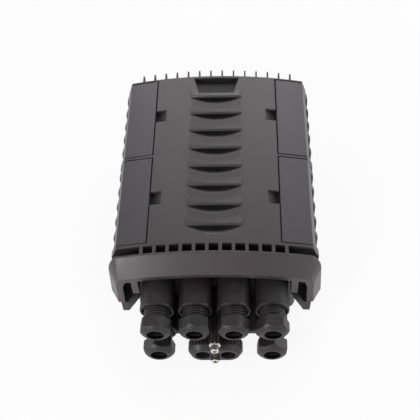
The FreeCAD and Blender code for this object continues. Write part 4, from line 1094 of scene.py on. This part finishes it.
@dataclass
class Housing(Part):
    """The moulded shells, the latches and everything inside that keeps its frame mesh."""

    twin_radius: float = 0.7 * MM
    plain: dict[str, Finish] = field(default_factory=lambda: {
        "cover_gasket": Finish.RUBBER, "mount_inserts": Finish.BRASS, "tray_bracket": Finish.TRAY,
        "bracket_screws": Finish.STEEL, "splice_tray_lower": Finish.TRAY, "splice_tray_upper": Finish.TRAY,
        "tray_rod_lower": Finish.STEEL, "tray_rod_upper": Finish.STEEL, "splice_holders": Finish.RUBBER,
        "tray_cover": Finish.CLEAR, "cable_clamps": Finish.STEEL, "clamp_screws": Finish.STEEL,
        "twin_gland_body": Finish.GLAND, "twin_gland_seal": Finish.RUBBER, "earth_washer": Finish.NICKEL,
    })

    def build(self) -> list[Piece]:
        """Dresses the shells and latches, and the plain nodes where they are.

        Returns:
            The softened pieces.
        """
        corners = ["%s_%s" % (side.name.lower(), end) for side in Side for end in ("rear", "front")]
        paint = self.paint
        mouldings = [
            SoftenedMoulding(paint, "base_shell", HOUSING, Finish.BASE),
            SoftenedMoulding(paint, "cover_shell", HOUSING, Finish.COVER, arched=True, plated=True),
            SoftenedMoulding(paint, "twin_port_sleeve", HOUSING, Finish.GLAND, radius=self.twin_radius),
            SoftenedMoulding(paint, "twin_gland_cap", HOUSING, Finish.GLAND, radius=self.twin_radius),
        ]
        for corner in corners:
            latch = "latch_" + corner
            mouldings.append(SoftenedMoulding(paint, latch, latch + "_body", Finish.LATCH, arched=True))
        pins = {"latch_pin_" + corner: Finish.STEEL for corner in corners}
        seals = {"gland_seal_%d" % number: Finish.RUBBER for number in PORT_NUMBERS}
        for node, finish in {**self.plain, **pins, **seals}.items():
            paint.dress(frame["nodes"][node], finish)
        return [moulding.build() for moulding in mouldings]


@dataclass
class Ports(Part):
    """The port sleeves, cable glands, webs, cap ribs and bright screws on the port side."""

    def build(self) -> list[Piece]:
        """Builds the sleeve and the gland of each port at its joint's place, then the rest.

        Returns:
            The pieces.
        """
        made = []
        places = {joint["name"]: Vector(joint["pos_m"]) for joint in frame["joints"]}
        for number in PORT_NUMBERS:
            axis = places["gland_nut_%d_turn" % number]
            gland = CableGland(self.paint, number, axis)
            made += [PortSleeve(self.paint, number, axis).build(), gland.build_sleeve(), gland.build_nut()]
        rest = [PortWeb(self.paint, Side.LEFT, 5), PortWeb(self.paint, Side.RIGHT, 6), CapRibs(self.paint),
                SocketScrew(self.paint, "earth_screw"), SocketScrew(self.paint, "twin_clamp_screw")]
        return made + [part.build() for part in rest]


@dataclass(frozen=True)
class Softbox:
    """A flat soft light: its place and its level and other side in metres, and its power in watts."""

    name: str
    place: tuple[float, float, float]
    width: float
    height: float
    power: float

    def hang(self, target: Vector) -> None:
        """Hangs the light and aims it.

        Args:
            target: The point that it is aimed at.
        """
        lamp = bpy.data.lights.new(self.name, "AREA")
        lamp.shape = "RECTANGLE"
        lamp.size = self.width
        lamp.size_y = self.height
        lamp.energy = self.power
        holder = add_object(self.name, lamp)
        holder.location = self.place
        holder.rotation_euler = (target - Vector(self.place)).to_track_quat("-Z", "Y").to_euler()


SOFTBOXES = (
    Softbox("far_softbox", (0.05, 1.48, 1.06), 2.0, 1.1, 19.0),
    Softbox("front_left_softbox", (-0.76, -1.08, 0.64), 0.3, 0.3, 9.5),
    Softbox("front_right_softbox", (0.85, -1.05, 0.66), 0.4, 0.4, 2.5),
    Softbox("left_softbox", (-1.3, 0.1, 0.4), 0.8, 0.8, 2.5),
    Softbox("right_softbox", (1.3, 0.1, 0.4), 0.8, 0.8, 7.0),
)


@dataclass
class Studio:
    """The pale floor, the soft light and the camera; angles are in degrees."""

    target: Vector = Vector((-6.2, -34.35, 74.0)) * MM
    azimuth: float = 3.96
    elevation: float = 54.0
    roll: float = -3.69
    distance: float = 872.0 * MM
    focal_pixels: float = 800.0
    frame_pixels: float = 420.0
    sensor: float = 36.0
    floor_half: float = 12.0
    wall_height: float = 5.0
    floor_tone: float = 0.86
    floor_roughness: float = 0.9
    floor_glow: float = 0.9
    world_level: float = 0.34

    def build(self) -> None:
        """Builds the whole studio."""
        self._world()
        self._floor()
        for softbox in SOFTBOXES:
            softbox.hang(self.target)
        self._camera()
        bpy.context.scene.view_settings.view_transform = "Standard"

    def _world(self) -> None:
        """A plain white sky."""
        world = bpy.data.worlds.new("white_tent")
        world.use_nodes = True
        sky = world.node_tree.nodes["Background"]
        NodeGraph(world.node_tree).fill(sky, {"Color": WHITE, "Strength": self.world_level})
        bpy.context.scene.world = world

    def _floor(self) -> None:
        """A white table with white walls far off, bright to the camera, that keeps the box's shadow."""
        half = self.floor_half
        corners = [(-half, -half), (half, -half), (half, half), (-half, half)]
        mesh = bpy.data.meshes.new("table")
        mesh.from_pydata([(x, y, z) for z in (0.0, self.wall_height) for x, y in corners], [],
                         [(0, 1, 2, 3), (0, 4, 5, 1), (1, 5, 6, 2), (2, 6, 7, 3), (3, 7, 4, 0)])
        table = add_object("table", mesh)
        material, graph, shader = new_material("table_white")
        tone = self.floor_tone
        graph.fill(shader, {"Base Color": (tone, tone, tone, 1.0), "Roughness": self.floor_roughness})
        glow = graph.add("Emission", {"Color": WHITE, "Strength": 1.0})
        path = graph.add("LightPath")
        seen = graph.math("MAXIMUM", path.outputs["Is Camera Ray"], path.outputs["Is Glossy Ray"])
        seen = graph.math("MAXIMUM", seen, path.outputs["Is Transmission Ray"])
        mix = graph.add("MixShader", {"Fac": graph.times(seen, self.floor_glow)})
        graph.feed(mix.inputs[1], shader.outputs["BSDF"])
        graph.feed(mix.inputs[2], glow.outputs["Emission"])
        graph.feed(graph.tree.nodes["Material Output"].inputs["Surface"], mix.outputs["Shader"])
        mesh.materials.append(material)

    def _camera(self) -> None:
        """The camera at the viewing angle of the picture, with its slight roll."""
        turn, rise, roll = (math.radians(angle) for angle in (self.azimuth, self.elevation, self.roll))
        back = Vector((math.sin(turn) * math.cos(rise), -math.cos(turn) * math.cos(rise), math.sin(rise)))
        right = Vector((0.0, 0.0, 1.0)).cross(back).normalized()
        up = back.cross(right)
        side = right * math.cos(roll) + up * math.sin(roll)
        head = up * math.cos(roll) - right * math.sin(roll)
        camera = bpy.data.cameras.new("view")
        camera.sensor_width = self.sensor
        camera.lens = self.focal_pixels / self.frame_pixels * self.sensor
        holder = add_object("view", camera)
        turned = Matrix((side, head, back)).transposed().to_4x4()
        holder.matrix_world = Matrix.Translation(self.target + back * self.distance) @ turned
        bpy.context.scene.camera = holder


def main() -> None:
    """Dresses the box and sets up the studio."""
    logging.basicConfig(level=logging.INFO, format="%(message)s")
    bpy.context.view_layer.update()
    paint = Paintbox()
    for piece in Housing(paint).build() + Ports(paint).build():
        LOG.info("%s: %d faces", piece.name, len(piece.data.polygons))
    Studio().build()


if __name__ == "__main__":
    main()
